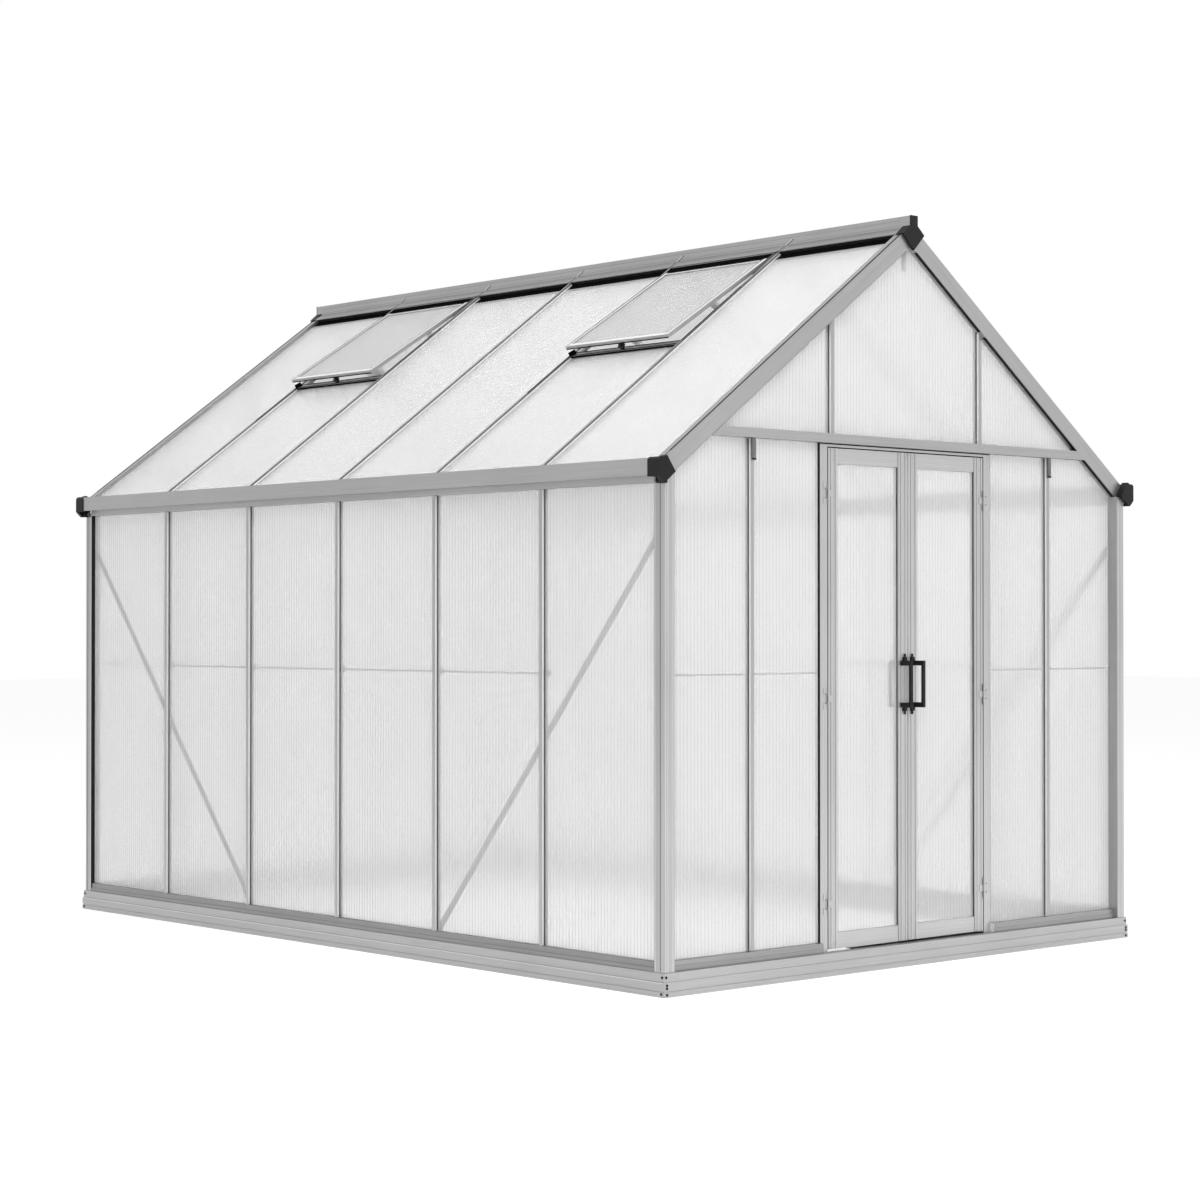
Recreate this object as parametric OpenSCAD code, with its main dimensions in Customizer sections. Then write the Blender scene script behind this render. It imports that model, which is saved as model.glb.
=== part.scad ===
// Gable-roofed greenhouse: aluminium frame, twin-wall panels, double door, two roof vents.
// Millimetres. +Z is up, the door gable faces -Y, and the vents are on the -X slope.
// The origin is the middle of the footprint at ground level.
// Depths are measured inwards from the outer face of the base.

/* [Overall] */
// Width of the base, across the gable
base_w = 2520; // [2200:10:3100]
// Length of the base, along the ridge
base_l = 3680; // [3000:10:4600]
// Height of the roof line above the outer face of the base
eave_h = 1775; // [1500:5:1800]
// Height of the roof line at the ridge
apex_h = 2689; // [2500:1:3300]
// Number of bays along each side
bay_count = 6; // [5:1:8]

/* [Base] */
// Height of the base rails
base_h = 80; // [60:1:120]
// Thickness of the base rails
base_t = 45; // [30:1:80]
// Height of the ledge on the outer face of the base
ledge_z = 50; // [30:1:58]
// Depth of the step above the ledge
ledge_d = 4; // [1:0.5:6]
// Height of the groove near the ground
groove_z = 18; // [8:1:22]
// Width of the groove
groove_w = 4; // [2:0.5:6]
// Depth of the groove
groove_d = 3; // [1:0.5:5]

/* [Posts and sills] */
// Width of the square corner posts
post_w = 48; // [36:1:60]
// Depth of the outer faces of the posts
post_in = 8; // [5:1:12]
// Chamfer on the outer corner of the posts
post_chamfer = 5; // [2:0.5:10]
// Height of the sills above the base
sill_h = 34; // [24:1:60]
// Height of the lower, stepped part of the sills
sill_step_h = 15; // [8:1:20]
// Depth of the step in the face of the sills
sill_step = 3; // [1:0.5:5]
// Depth of the face of the side sills
side_sill_in = 12; // [9:1:16]
// Depth of the face of the gable sills
gable_sill_in = 26; // [14:1:32]

/* [Panels and glazing bars] */
// Thickness of the wall and roof panels
panel_t = 10; // [6:0.5:14]
// Depth of the outer face of the side panels
side_panel_in = 26; // [23:1:32]
// Depth of the outer face of the gable panels
gable_panel_in = 50; // [44:1:54]
// Width of the outer cap of the glazing bars
cap_w = 15; // [12:0.5:24]
// Width of the outer cap of a roof bar
roof_cap_w = 11; // [9:0.5:20]
// Width of the inner flange of the glazing bars
flange_w = 25; // [18:1:36]
// Height of a glazing bar over the panels
bar_rise = 14; // [6:0.5:14]
// Thickness of the web between two panels
web_t = 6; // [4:0.5:10]
// Thickness of the inner flange of a glazing bar
flange_t = 3; // [2:0.5:5]
// Gap between a panel's edge and the web
edge_gap = 1; // [0.5:0.5:3]
// Gap between pieces that seat on each other
seat = 0.3; // [0.1:0.1:0.5]

/* [Eaves] */
// Overhang of the gutter beyond the base
gutter_out = 28; // [20:1:40]
// Height of the gutter's lip over the roof line
gutter_rise = 11; // [5:1:20]
// Drop from the roof line to the underside of the gutter
gutter_drop = 47; // [40:1:55]
// Drop from the roof line to the underside of the eave strip
strip_drop = 69; // [60:1:80]
// Wall thickness of the gutter
gutter_t = 3; // [2:0.5:5]
// Width of the rolled lip of the gutter
lip_w = 7; // [5:0.5:12]
// Height of the rolled lip of the gutter
lip_h = 5; // [3:0.5:8]
// Depth of the gutter's inner wall
gutter_in = 20; // [14:1:30]

/* [Gables] */
// Width of the face of the gable rafters
rafter_w = 62; // [50:1:80]
// Depth of the face of the gable rafters
rafter_in = 20; // [18:1:24]
// Height of the tie beam across the gable
tie_h = 33; // [25:1:60]
// Depth of the face of the tie beam
tie_in = 18; // [14:1:24]
// Distance between gable mullions
mullion_pitch = 404; // [400:1:460]
// Height of the middle of the inside rails
mid_rail_z = 1063; // [800:1:1200]
// Height of the inside rails
mid_rail_h = 6; // [4:1:40]
// Thickness of the inside rails
mid_rail_t = 11; // [4:1:14]
// Width of the diagonal braces
brace_w = 25; // [18:1:40]
// Thickness of the diagonal braces
brace_t = 3; // [2:0.5:5]
// Drop from the eave strip to the upper end of the braces
brace_drop = 161; // [80:1:400]
// Width of the hanger brackets
hanger_w = 18; // [12:1:24]
// Length of the hanger brackets under the tie beam
hanger_l = 76; // [50:1:120]
// Thickness of the hanger brackets
hanger_t = 8; // [4:1:12]
// Distance from the apex down to the foot of the ridge hanger
ridge_hanger_drop = 168; // [140:1:240]
// Length of the ridge hanger
ridge_hanger_l = 75; // [60:1:110]

/* [Ridge and roof] */
// Height of the ridge beam over the roof line
ridge_rise = 31; // [20:1:50]
// Width of the upright box of the ridge beam
ridge_box_w = 40; // [30:1:60]
// Length of a ridge flange down the slope
ridge_flange_l = 66; // [50:1:90]
// Thickness of a ridge flange
ridge_flange_t = 4; // [2:0.5:6]
// Distance from the roof line down to the roof panels
panel_drop = 14; // [12:1:18]
// Distance from the ridge flange's edge back to the face of the seal
seal_back = 4; // [2:1:10]
// Where the roof panels start below the apex
panel_start = 30; // [28:1:45]
// Distance from the outer face of the base back to the lower end of the roof panels
panel_end_in = 10; // [8:1:14]

/* [Corner connectors] */
// Stand-out of the eave connectors past the gable base
eave_cap_out = 9; // [4:1:14]
// Skin of the connectors round the beams
cap_skin = 3; // [2:0.5:5]
// Reach of the eave connectors along the gutter
eave_cap_l = 48; // [34:1:60]
// Reach of the eave connectors along the strip under the gutter
eave_foot_l = 26; // [16:1:40]
// Rise of the eave connectors over the roof line
eave_cap_rise = 13; // [8:1:16]
// Depth of the eave connectors over the face of the rafters
eave_cap_drop = 54; // [40:1:60]
// Depth of the front of the ridge connectors
ridge_cap_in = 8; // [4:1:12]
// Reach of the ridge connectors' wings along the ridge
ridge_cap_l = 38; // [30:1:60]
// Rise of the ridge connectors over the roof line
ridge_cap_rise = 8; // [6:0.5:12]
// Distance from the apex down to the foot of the ridge connectors
ridge_cap_drop = 94; // [70:1:110]

/* [Door] */
// Clear width between the jambs
door_w = 856; // [780:1:870]
// Height of the door leaves
leaf_h = 1770; // [1500:1:1900]
// Thickness of the door leaves
leaf_t = 26; // [20:1:34]
// Width of the stiles
stile_w = 47; // [35:1:60]
// Height of the bottom rail
bottom_rail_h = 56; // [40:1:100]
// Height of the top rail
top_rail_h = 54; // [40:1:100]
// Set-back of the rails from the face of the stiles
rail_back = 2; // [1:0.5:4]
// Thickness of the door panels
door_panel_t = 8; // [4:0.5:12]
// Gap under the leaves
floor_gap = 8; // [6:1:14]
// Gap beside and over the leaves
leaf_gap = 5; // [5:0.5:8]
// Gap between the two leaves
meet_gap = 8; // [8:0.5:12]
// Width of the jambs
jamb_w = 37; // [25:1:50]
// Height of the door head
head_h = 12; // [8:1:30]
// Depth of the face of the jambs and leaves
door_in = 41; // [38:1:46]

/* [Handles and hinges] */
// Height of the middle of the handles
handle_z = 1018; // [900:1:1200]
// Height of a handle
handle_h = 168; // [120:1:220]
// Stand-out of the outer handles from the leaf
handle_out = 50; // [40:1:50]
// Stand-out of the inner handles from the leaf
inner_handle_out = 36; // [30:1:60]
// Distance from a leaf's free edge to the middle of its handles
handle_in = 30; // [20:1:34]
// Width of a handle's bar
handle_w = 12; // [10:1:20]
// Thickness of a handle's bar
handle_t = 10; // [8:1:16]
// Distance from a leaf's free edge to the middle of the handles' lugs
lug_in = 16; // [12:1:24]
// Width of the lugs
lug_w = 16; // [10:1:20]
// Length of the lugs past the handle
lug_l = 14; // [8:1:30]
// Thickness of the handles' feet and lugs
lug_t = 9; // [6:1:12]
// Radius of the pins in the lugs
lug_pin_r = 3.5; // [2:0.5:4]
// Length of the pins past the lugs
lug_pin_l = 12; // [6:1:20]
// Radius of the hinge barrels
barrel_r = 4.5; // [4:0.5:6]
// Radius of the hinge pins
pin_r = 2.5; // [1.5:0.1:3]
// Clearance round the hinge pins
pin_gap = 0.3; // [0.2:0.05:0.5]
// Length of one hinge knuckle
knuckle_l = 24; // [16:1:40]
// Gap between the knuckles of a hinge
knuckle_gap = 1; // [0.5:0.1:2]
// Distance from the end of a leaf to its outer hinges
hinge_end = 160; // [100:1:300]
// Width of the hinge plates
plate_w = 22; // [14:1:30]
// Thickness of the hinge plates
plate_t = 2; // [1.5:0.5:3]

/* [Roof vents] */
// Length of a vent down the slope
vent_l = 668; // [500:1:800]
// Opening angle of the vents, in degrees
vent_open = 3.8; // [3:0.1:30]
// Thickness of the vent frames
vent_t = 14; // [10:1:20]
// Width of the vent frame members
vent_rail_w = 22; // [16:1:36]
// Thickness of the vent panels
vent_panel_t = 8; // [4:0.5:10]
// Gap between a vent and the glazing bars
vent_gap = 11; // [3:0.5:12]
// Radius of the vent hinge rods
vent_rod_r = 5; // [4:0.5:6]
// Overhang of a vent past its cross bar
vent_overhang = 10; // [0:1:30]
// Width of the vent cross bars
crossbar_w = 25; // [18:1:40]
// Radius of the vent stays
stay_r = 7; // [5:0.5:9]
// Width of the stay knobs
knob_w = 28; // [16:1:30]

/* [Hidden] */

metal = "#b2b3b4";
sheet = "#e4e7e8";
black = "#2b2c2e";
$fn = 40;

half_w = base_w / 2;
half_l = base_l / 2;
pitch = atan((apex_h - eave_h) / half_w);
far = 2 * base_l;

// The frame's depth lines
post_back = post_in + post_w;
panel_top_n = -panel_drop;
panel_low_n = panel_top_n - panel_t;
bar_under_n = panel_low_n - seat - flange_t;
side_bar_in = side_panel_in - bar_rise;
gable_bar_in = gable_panel_in - bar_rise;
side_bar_back = side_panel_in + panel_t + seat + flange_t;
gable_bar_back = gable_panel_in + panel_t + seat + flange_t;

// Half the clear width between the corner posts, less the seats
gable_end = half_w - post_back - seat;

// Heights
sill_top = base_h + sill_h;
leaf_z = base_h + floor_gap;
leaf_top = leaf_z + leaf_h;
head_z = leaf_top + leaf_gap;
tie_z = head_z + head_h;
tie_top = tie_z + tie_h;
strip_z = eave_h - strip_drop;
brace_top_z = strip_z - brace_drop;
gutter_z = eave_h - gutter_drop;
gutter_top = eave_h + gutter_rise;
ridge_top = apex_h + ridge_rise;

// Spacing along the side
bay = (base_l - 2 * (post_in + post_w / 2) - post_w / 3) / bay_count;
function bar_y(k) = (k - bay_count / 2) * bay;

// Points on the right slope: s runs down from the apex, n stands square to the roof line
function slope_x(s, n) = s * cos(pitch) + n * sin(pitch);
function slope_z(s, n) = apex_h - s * sin(pitch) + n * cos(pitch);
function roof_z(x, n) = apex_h - x * tan(pitch) + n / cos(pitch);
slope_l = half_w / cos(pitch);
panel_end = slope_l - panel_end_in / cos(pitch);
rafter_end = slope_l - (post_in + 1) / cos(pitch);
bar_start = ridge_flange_l + seat;
rafter_peak = roof_z(ridge_box_w / 2, 0);

// Door
leaf_edge = door_w / 2 - leaf_gap;
leaf_w = leaf_edge - meet_gap / 2;
jamb_out = door_w / 2 + jamb_w;
hinge_x = door_w / 2 - leaf_gap / 2;
hinge_in = door_in - barrel_r - 0.5;
hinge_zs = [leaf_z + hinge_end, leaf_z + leaf_h / 2, leaf_top - hinge_end];

// Vents
vent_bays = [1, bay_count - 2];
vent_hinge_s = ridge_flange_l - seal_back + seat + vent_rod_r;
vent_hinge_n = -7;
vent_w = bay - roof_cap_w - 2 * vent_gap;
crossbar_s = vent_hinge_s + vent_l - vent_overhang - crossbar_w;

// ---------- placing ----------

module on_left() { translate([-half_w, 0, 0]) children(); }
module on_right() { mirror([1, 0, 0]) on_left() children(); }
module on_front() { translate([0, -half_l, 0]) children(); }
module on_back() { mirror([0, 1, 0]) on_front() children(); }
module both_sides() { children(); mirror([1, 0, 0]) children(); }
module both_ends() { children(); mirror([0, 1, 0]) children(); }
module on_right_slope() { translate([0, 0, apex_h]) rotate([0, pitch, 0]) children(); }
module on_left_slope() { mirror([1, 0, 0]) on_right_slope() children(); }

// A box given by its low and high corners
module span(low, high) { translate(low) cube(high - low); }

// An outline in X and Z, drawn out along Y from y0 to y1
module along_y(points, y0, y1) {
    translate([0, y1, 0]) rotate([90, 0, 0]) linear_extrude(y1 - y0) polygon(points);
}

// All that lies under both slopes, at n from the roof line
module under_roof(n) {
    along_y([[-base_w, -1], [base_w, -1], [base_w, roof_z(base_w, n)],
             [0, roof_z(0, n)], [-base_w, roof_z(base_w, n)]], -far, far);
}

// ---------- base and sills ----------

// Outline of a base rail: depth inwards, then height
function base_outline() = [
    [0, 0], [0, groove_z], [groove_d, groove_z], [groove_d, groove_z + groove_w],
    [0, groove_z + groove_w], [0, ledge_z], [ledge_d, ledge_z], [ledge_d, base_h],
    [base_t, base_h], [base_t, 0]
];

// One base rail with mitred ends, running along Y on the left side
module base_rail(length, offset) {
    mitre = 0.15;
    intersection() {
        translate([-offset, 0, 0]) along_y(base_outline(), -length / 2, length / 2);
        linear_extrude(base_h) polygon([
            [-offset, -length / 2 + mitre], [-offset + base_t, -length / 2 + base_t + mitre],
            [-offset + base_t, length / 2 - base_t - mitre], [-offset, length / 2 - mitre]
        ]);
    }
}

module base_left() { color(metal) base_rail(base_l, half_w); }
module base_right() { color(metal) mirror([1, 0, 0]) base_rail(base_l, half_w); }
module base_front() { color(metal) rotate([0, 0, 90]) base_rail(base_w, half_l); }
module base_back() { color(metal) mirror([0, 1, 0]) rotate([0, 0, 90]) base_rail(base_w, half_l); }

// Outline of a sill: depth inwards, then height
function sill_outline(face, back) = [
    [face - sill_step, base_h + seat], [face - sill_step, base_h + sill_step_h],
    [face, base_h + sill_step_h], [face, sill_top], [back, sill_top], [back, base_h + seat]
];

module side_sill() {
    end = half_l - post_back - seat;
    along_y(sill_outline(side_sill_in, post_back - 8), -end, end);
}
module sill_left() { color(metal) on_left() side_sill(); }
module sill_right() { color(metal) on_right() side_sill(); }

// A gable sill from x0 to x1
module gable_sill(x0, x1) {
    rotate([0, 0, 90]) along_y(sill_outline(gable_sill_in, gable_bar_back), -x1, -x0);
}
module sill_front() {
    color(metal) on_front() both_sides()
        gable_sill(jamb_out + seat, gable_end);
}
module sill_back() { color(metal) on_back() gable_sill(-gable_end, gable_end); }

// ---------- posts and glazing bars ----------

module corner_post() {
    linear_extrude(eave_h) translate([-half_w + post_in, -half_l + post_in])
        polygon([[post_chamfer, 0], [post_w, 0], [post_w, post_w], [0, post_w], [0, post_chamfer]]);
}

module corner_posts() {
    color(metal) both_sides() both_ends() intersection() {
        difference() {
            corner_post();
            translate([-half_w, -half_l, -1]) cube([base_t * 2, base_t * 2, base_h + seat + 1]);
        }
        under_roof(-rafter_w - seat);
    }
}

// A glazing bar runs along +Z; X goes inwards from the face of its cap
module glazing_bar(length, width = cap_w) {
    cap = bar_rise - seat;
    web_end = bar_rise + panel_t + seat;
    union() {
        translate([0, -width / 2, 0]) cube([cap, width, length]);
        translate([0, -web_t / 2, 0]) cube([web_end + flange_t, web_t, length]);
        translate([web_end, -flange_w / 2, 0]) cube([flange_t, flange_w, length]);
    }
}

module wall_bars() {
    for (k = [1 : bay_count - 1])
        translate([side_bar_in, bar_y(k), sill_top + seat])
            glazing_bar(strip_z - sill_top - 2 * seat);
}
module wall_bars_left() { color(metal) on_left() wall_bars(); }
module wall_bars_right() { color(metal) on_right() wall_bars(); }

module roof_bars() {
    for (k = [1 : bay_count - 1])
        translate([bar_start, bar_y(k), panel_top_n + bar_rise]) rotate([0, 90, 0])
            glazing_bar(panel_end - bar_start, roof_cap_w);
}
module roof_bars_left() { color(metal) on_left_slope() roof_bars(); }
module roof_bars_right() { color(metal) on_right_slope() roof_bars(); }

// ---------- inside rails and braces ----------

module side_rail() {
    face = side_bar_back + seat;
    end = bar_y(bay_count - 1) + flange_w / 2;
    span([face, -end, mid_rail_z - mid_rail_h / 2], [face + mid_rail_t, end, mid_rail_z + mid_rail_h / 2]);
}
module mid_rails_side() { color(metal) both_sides() on_left() side_rail(); }

module gable_rail(x0, x1) {
    face = gable_bar_back + seat;
    span([x0, face, mid_rail_z - mid_rail_h / 2], [x1, face + mid_rail_t, mid_rail_z + mid_rail_h / 2]);
}
module mid_rails_gable() {
    end = half_w - post_back - mid_rail_t;
    color(metal) {
        on_front() both_sides() gable_rail(jamb_out + seat, end);
        on_back() gable_rail(-end, end);
    }
}

// A brace runs from the corner post down to the foot of the second glazing bar
module wall_brace() {
    y0 = -half_l + post_back;
    y1 = bar_y(2);
    lean = atan((brace_top_z - sill_top) / (y1 - y0));
    run = (y1 - y0) / cos(lean);
    face = side_bar_back + seat;
    intersection() {
        translate([face, y0, brace_top_z]) rotate([-lean, 0, 0])
            translate([0, -brace_w, -brace_w / 2]) cube([brace_t, run + 2 * brace_w, brace_w]);
        span([0, y0 + seat, sill_top + seat], [base_w, y1 + flange_w / 2, brace_top_z]);
    }
}
module wall_braces() { color(metal) both_sides() both_ends() on_left() wall_brace(); }

// ---------- eaves and ridge ----------

// Outline of the gutter with its rolled lip, back to the given depth: depth, then height
function gutter_outline(back) = [
    [-gutter_out, gutter_z], [-gutter_out, gutter_top],
    [-gutter_out + lip_w, gutter_top], [-gutter_out + lip_w, gutter_top - lip_h],
    [-gutter_out + gutter_t, gutter_top - lip_h], [-gutter_out + gutter_t, gutter_z + gutter_t],
    [back, gutter_z + gutter_t], [back, gutter_z]
];
// Outline of the beam between the posts
function eave_outline() = [
    [post_in, strip_z], [post_in, gutter_z + gutter_t], [gutter_in, gutter_z + gutter_t],
    [gutter_in, roof_z(half_w - gutter_in, bar_under_n - seat)],
    [post_back, roof_z(half_w - post_back, bar_under_n - seat)], [post_back, strip_z]
];

module eave_beam() {
    end = half_l - post_back - seat;
    gutter_end = half_l - eave_cap_l - seat;
    union() {
        along_y(eave_outline(), -end, end);
        along_y(gutter_outline(post_in), -end, end);
        along_y(gutter_outline(post_in - seat), -gutter_end, gutter_end);
    }
}
module eave_beam_left() { color(metal) on_left() eave_beam(); }
module eave_beam_right() { color(metal) on_right() eave_beam(); }

// Height of the underside of the box of the ridge beam over its connectors
function box_low() = roof_z(ridge_box_w / 2, ridge_cap_rise) + seat;

// Outline of both flanges of the ridge beam
function flange_outline() = [
    [0, roof_z(0, seat + ridge_flange_t)],
    [slope_x(ridge_flange_l, seat + ridge_flange_t), slope_z(ridge_flange_l, seat + ridge_flange_t)],
    [slope_x(ridge_flange_l, seat), slope_z(ridge_flange_l, seat)], [0, roof_z(0, seat)],
    [-slope_x(ridge_flange_l, seat), slope_z(ridge_flange_l, seat)],
    [-slope_x(ridge_flange_l, seat + ridge_flange_t), slope_z(ridge_flange_l, seat + ridge_flange_t)]
];

module ridge_beam() {
    end = half_l - ridge_cap_in - ridge_cap_l - seat;
    box_end = half_l - ridge_cap_in - cap_skin - seat;
    foot = roof_z(ridge_box_w / 2, seat + ridge_flange_t / 2);
    color(metal) union() {
        along_y(flange_outline(), -end, end);
        span([-ridge_box_w / 2, -end, foot], [ridge_box_w / 2, end, ridge_top]);
        span([-ridge_box_w / 2, -box_end, box_low()], [ridge_box_w / 2, box_end, ridge_top]);
    }
}

module ridge_seals() {
    end = half_l - post_back - seat;
    color(black) both_sides() on_right_slope()
        span([panel_start, -end, panel_top_n + seat], [ridge_flange_l - seal_back, end, 0]);
}

module ridge_clips() {
    low = 2 * seat + ridge_flange_t;
    color(metal) both_sides() on_right_slope()
        for (k = [1 : bay_count - 1])
            span([ridge_box_w / 2 / cos(pitch) + 8, bar_y(k) - cap_w / 2, low],
                 [ridge_flange_l, bar_y(k) + cap_w / 2, low + 2.5]);
}

// ---------- gable frames ----------

// One rafter on the right slope at the front, with the long groove in its top face
module gable_rafter() {
    groove_at = 6;
    groove = 5;
    intersection() {
        on_right_slope() difference() {
            span([0, -half_l + rafter_in, -rafter_w], [rafter_end, -half_l + post_back, 0]);
            span([-1, -half_l + rafter_in + groove_at, -groove],
                 [rafter_end + 1, -half_l + rafter_in + groove_at + groove, 1]);
        }
        span([seat / 2, -half_l, 0], [half_w, half_l, rafter_peak]);
    }
}
module gable_rafters_front() { color(metal) both_sides() gable_rafter(); }
module gable_rafters_back() { color(metal) mirror([0, 1, 0]) both_sides() gable_rafter(); }

module gable_tie() {
    intersection() {
        on_front() span([-gable_end, tie_in, tie_z], [gable_end, gable_panel_in + panel_t, tie_top]);
        under_roof(-rafter_w - seat);
    }
}
module gable_ties() { color(metal) both_ends() gable_tie(); }

// A gable mullion at x, from z0 up to z1 or to the rafter
module gable_mullion(x, z0, z1) {
    intersection() {
        on_front() translate([x, gable_bar_in, z0]) rotate([0, 0, 90]) glazing_bar(z1 - z0);
        under_roof(-rafter_w - seat);
    }
}
module upper_mullions() {
    both_sides() gable_mullion(mullion_pitch, tie_top + seat, apex_h);
}
module lower_mullions(xs) {
    both_sides() for (x = xs) gable_mullion(x, sill_top + seat, tie_z - seat);
}
module gable_mullions_front() {
    color(metal) { upper_mullions(); lower_mullions([2 * mullion_pitch]); }
}
module gable_mullions_back() {
    color(metal) mirror([0, 1, 0]) { upper_mullions(); lower_mullions([mullion_pitch, 2 * mullion_pitch]); }
}

// Brackets at the mullion tops outside, and under the ridge inside
module hanger_brackets() {
    face = gable_bar_in - seat;
    edge = 2 * mullion_pitch + hanger_w / 2;
    top = min(tie_z, roof_z(edge, -rafter_w)) - seat;
    color(metal) both_ends() on_front() {
        both_sides() span([edge - hanger_w, face - hanger_t, top - hanger_l], [edge, face, top]);
        translate([0, gable_panel_in + panel_t + seat, apex_h - ridge_hanger_drop])
            span([-flange_w / 2, 0, 0], [flange_w / 2, flange_t, ridge_hanger_l]);
    }
}

// ---------- connectors ----------

// Front-left eave connector: a plate over the corner, a sleeve on the gutter and a foot on the strip
module eave_connector() {
    out = gutter_out + cap_skin;
    top = gutter_top + cap_skin;
    low = gutter_z - cap_skin - 1;
    foot = strip_z - 4;
    back = post_in - seat;
    plate_s = slope_l - 13.7 / cos(pitch);
    high_edge = [half_w - slope_x(plate_s, eave_cap_rise), slope_z(plate_s, eave_cap_rise)];
    low_edge = [half_w - slope_x(plate_s, -eave_cap_drop), slope_z(plate_s, -eave_cap_drop)];
    union() {
        along_y([
            [-out, low], [-out, top - 8], [-out + 8, top], [-8, top], high_edge, low_edge,
            [-4, foot], [-8, foot], [-22, foot + 13]
        ], -eave_cap_out, back);
        intersection() {
            along_y([[-8, top], high_edge, low_edge, [back, low_edge[1]], [-8, low]], -eave_cap_out, rafter_in - seat);
            translate([half_w, 0, 0]) difference() {
                span([-half_w - out, -base_l, 0], [0, base_l, apex_h]);
                under_roof(-rafter_w + 1);
            }
        }
        along_y([
            [-out, low], [-out, top - 8], [-out + 8, top], [back, top], [back, low]
        ], -eave_cap_out, eave_cap_l);
        span([-8, -eave_cap_out, foot], [back, eave_foot_l, low + 1]);
    }
}
module eave_connectors() {
    color(black) both_sides() both_ends() translate([-half_w, -half_l, 0]) eave_connector();
}

// Front ridge connector: a plate over the rafter ends, an end cap and two wings on the rafters
module ridge_connector() {
    box = ridge_box_w / 2 + 0.5;
    neck = roof_z(ridge_box_w / 2, ridge_cap_rise);
    top = ridge_top + 1.5;
    reach = ridge_flange_l + 1.5;
    rise = ridge_cap_rise / 2 + seat;
    tip = [slope_x(reach, rise), slope_z(reach, rise)];
    wing_back = ridge_cap_in + ridge_cap_l;
    wide = 2 * ridge_flange_l;
    difference() {
        along_y([
            [box, top], [box, neck], tip, [0, apex_h - ridge_cap_drop],
            [-tip[0], tip[1]], [-box, neck], [-box, top]
        ], ridge_cap_in, wing_back);
        along_y([
            [wide, 0], [wide, roof_z(wide, seat)], [ridge_box_w / 2, rafter_peak + seat],
            [-ridge_box_w / 2, rafter_peak + seat], [-wide, roof_z(wide, seat)], [-wide, 0]
        ], rafter_in - seat, wing_back + 1);
        span([-box - 1, ridge_cap_in + cap_skin, neck], [box + 1, wing_back + 1, top + 1]);
    }
}
module ridge_connectors() { color(black) both_ends() on_front() ridge_connector(); }

// ---------- panels ----------

// Start and end of the panel in bay k, between the glazing bars or the posts
function bay_start(k) = k == 0 ? -half_l + post_back + seat : bar_y(k) + web_t / 2 + edge_gap;
function bay_end(k) = -bay_start(bay_count - 1 - k);

module wall_panels() {
    for (k = [0 : bay_count - 1])
        span([side_panel_in, bay_start(k), sill_top + seat],
             [side_panel_in + panel_t, bay_end(k), strip_z - seat]);
}
module wall_panels_left() { color(sheet) on_left() wall_panels(); }
module wall_panels_right() { color(sheet) on_right() wall_panels(); }

// Roof panels; a bay with a vent has its panel from the cross bar down
module roof_panels(open_bays) {
    for (k = [0 : bay_count - 1]) {
        start = len(search(k, open_bays)) > 0 ? crossbar_s + crossbar_w / 2 : panel_start;
        span([start, bay_start(k), panel_low_n], [panel_end, bay_end(k), panel_top_n]);
    }
}
module roof_panels_left() { color(sheet) on_left_slope() roof_panels(vent_bays); }
module roof_panels_right() { color(sheet) on_right_slope() roof_panels([]); }

// One gable panel from x0 to x1 and z0 to z1, cut to the rafters
module gable_panel(x0, x1, z0, z1) {
    intersection() {
        on_front() span([x0, gable_panel_in, z0], [x1, gable_panel_in + panel_t, z1]);
        under_roof(-rafter_w - seat);
    }
}
module upper_panels() {
    side = mullion_pitch - web_t / 2 - edge_gap;
    gable_panel(-side, side, tie_top + seat, apex_h);
    both_sides() gable_panel(side + web_t + 2 * edge_gap, gable_end, tie_top + seat, apex_h);
}
// Lower panels between the edges in xs, measured from the middle
module lower_panels(xs) {
    margin = web_t / 2 + edge_gap;
    last = len(xs) - 1;
    both_sides() for (i = [0 : last - 1]) {
        x0 = i == 0 ? xs[0] : xs[i] + margin;
        x1 = i == last - 1 ? xs[last] : xs[i + 1] - margin;
        gable_panel(x0, x1, sill_top + seat, tie_z - seat);
    }
}
module gable_panels_front() {
    color(sheet) {
        upper_panels();
        lower_panels([jamb_out + seat, 2 * mullion_pitch, gable_end]);
    }
}
module gable_panels_back() {
    margin = web_t / 2 + edge_gap;
    color(sheet) mirror([0, 1, 0]) {
        upper_panels();
        gable_panel(-mullion_pitch + margin, mullion_pitch - margin, sill_top + seat, tie_z - seat);
        lower_panels([mullion_pitch + margin, 2 * mullion_pitch, gable_end]);
    }
}

// ---------- door ----------

module door_frame() {
    back = door_in + leaf_t;
    color(metal) on_front() {
        both_sides() span([door_w / 2, door_in, base_h + seat], [jamb_out, back, tie_z - seat]);
        span([-door_w / 2 + seat, door_in, head_z], [door_w / 2 - seat, back, tie_z - seat]);
    }
}

// A stile from x0 with two long grooves in its outer face
module stile(x0) {
    groove = 3;
    deep = 2;
    difference() {
        span([x0, door_in, leaf_z], [x0 + stile_w, door_in + leaf_t, leaf_top]);
        for (at = [stile_w / 4, stile_w * 3 / 4])
            span([x0 + at - groove / 2, door_in - 1, leaf_z - 1],
                 [x0 + at + groove / 2, door_in + deep, leaf_top + 1]);
    }
}

// The right leaf's frame: two stiles and two rails
module leaf_frame() {
    x0 = meet_gap / 2 + stile_w + seat;
    x1 = leaf_edge - stile_w - seat;
    stile(meet_gap / 2);
    stile(leaf_edge - stile_w);
    span([x0, door_in + rail_back, leaf_z], [x1, door_in + leaf_t - rail_back, leaf_z + bottom_rail_h]);
    span([x0, door_in + rail_back, leaf_top - top_rail_h], [x1, door_in + leaf_t - rail_back, leaf_top]);
}

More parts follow.
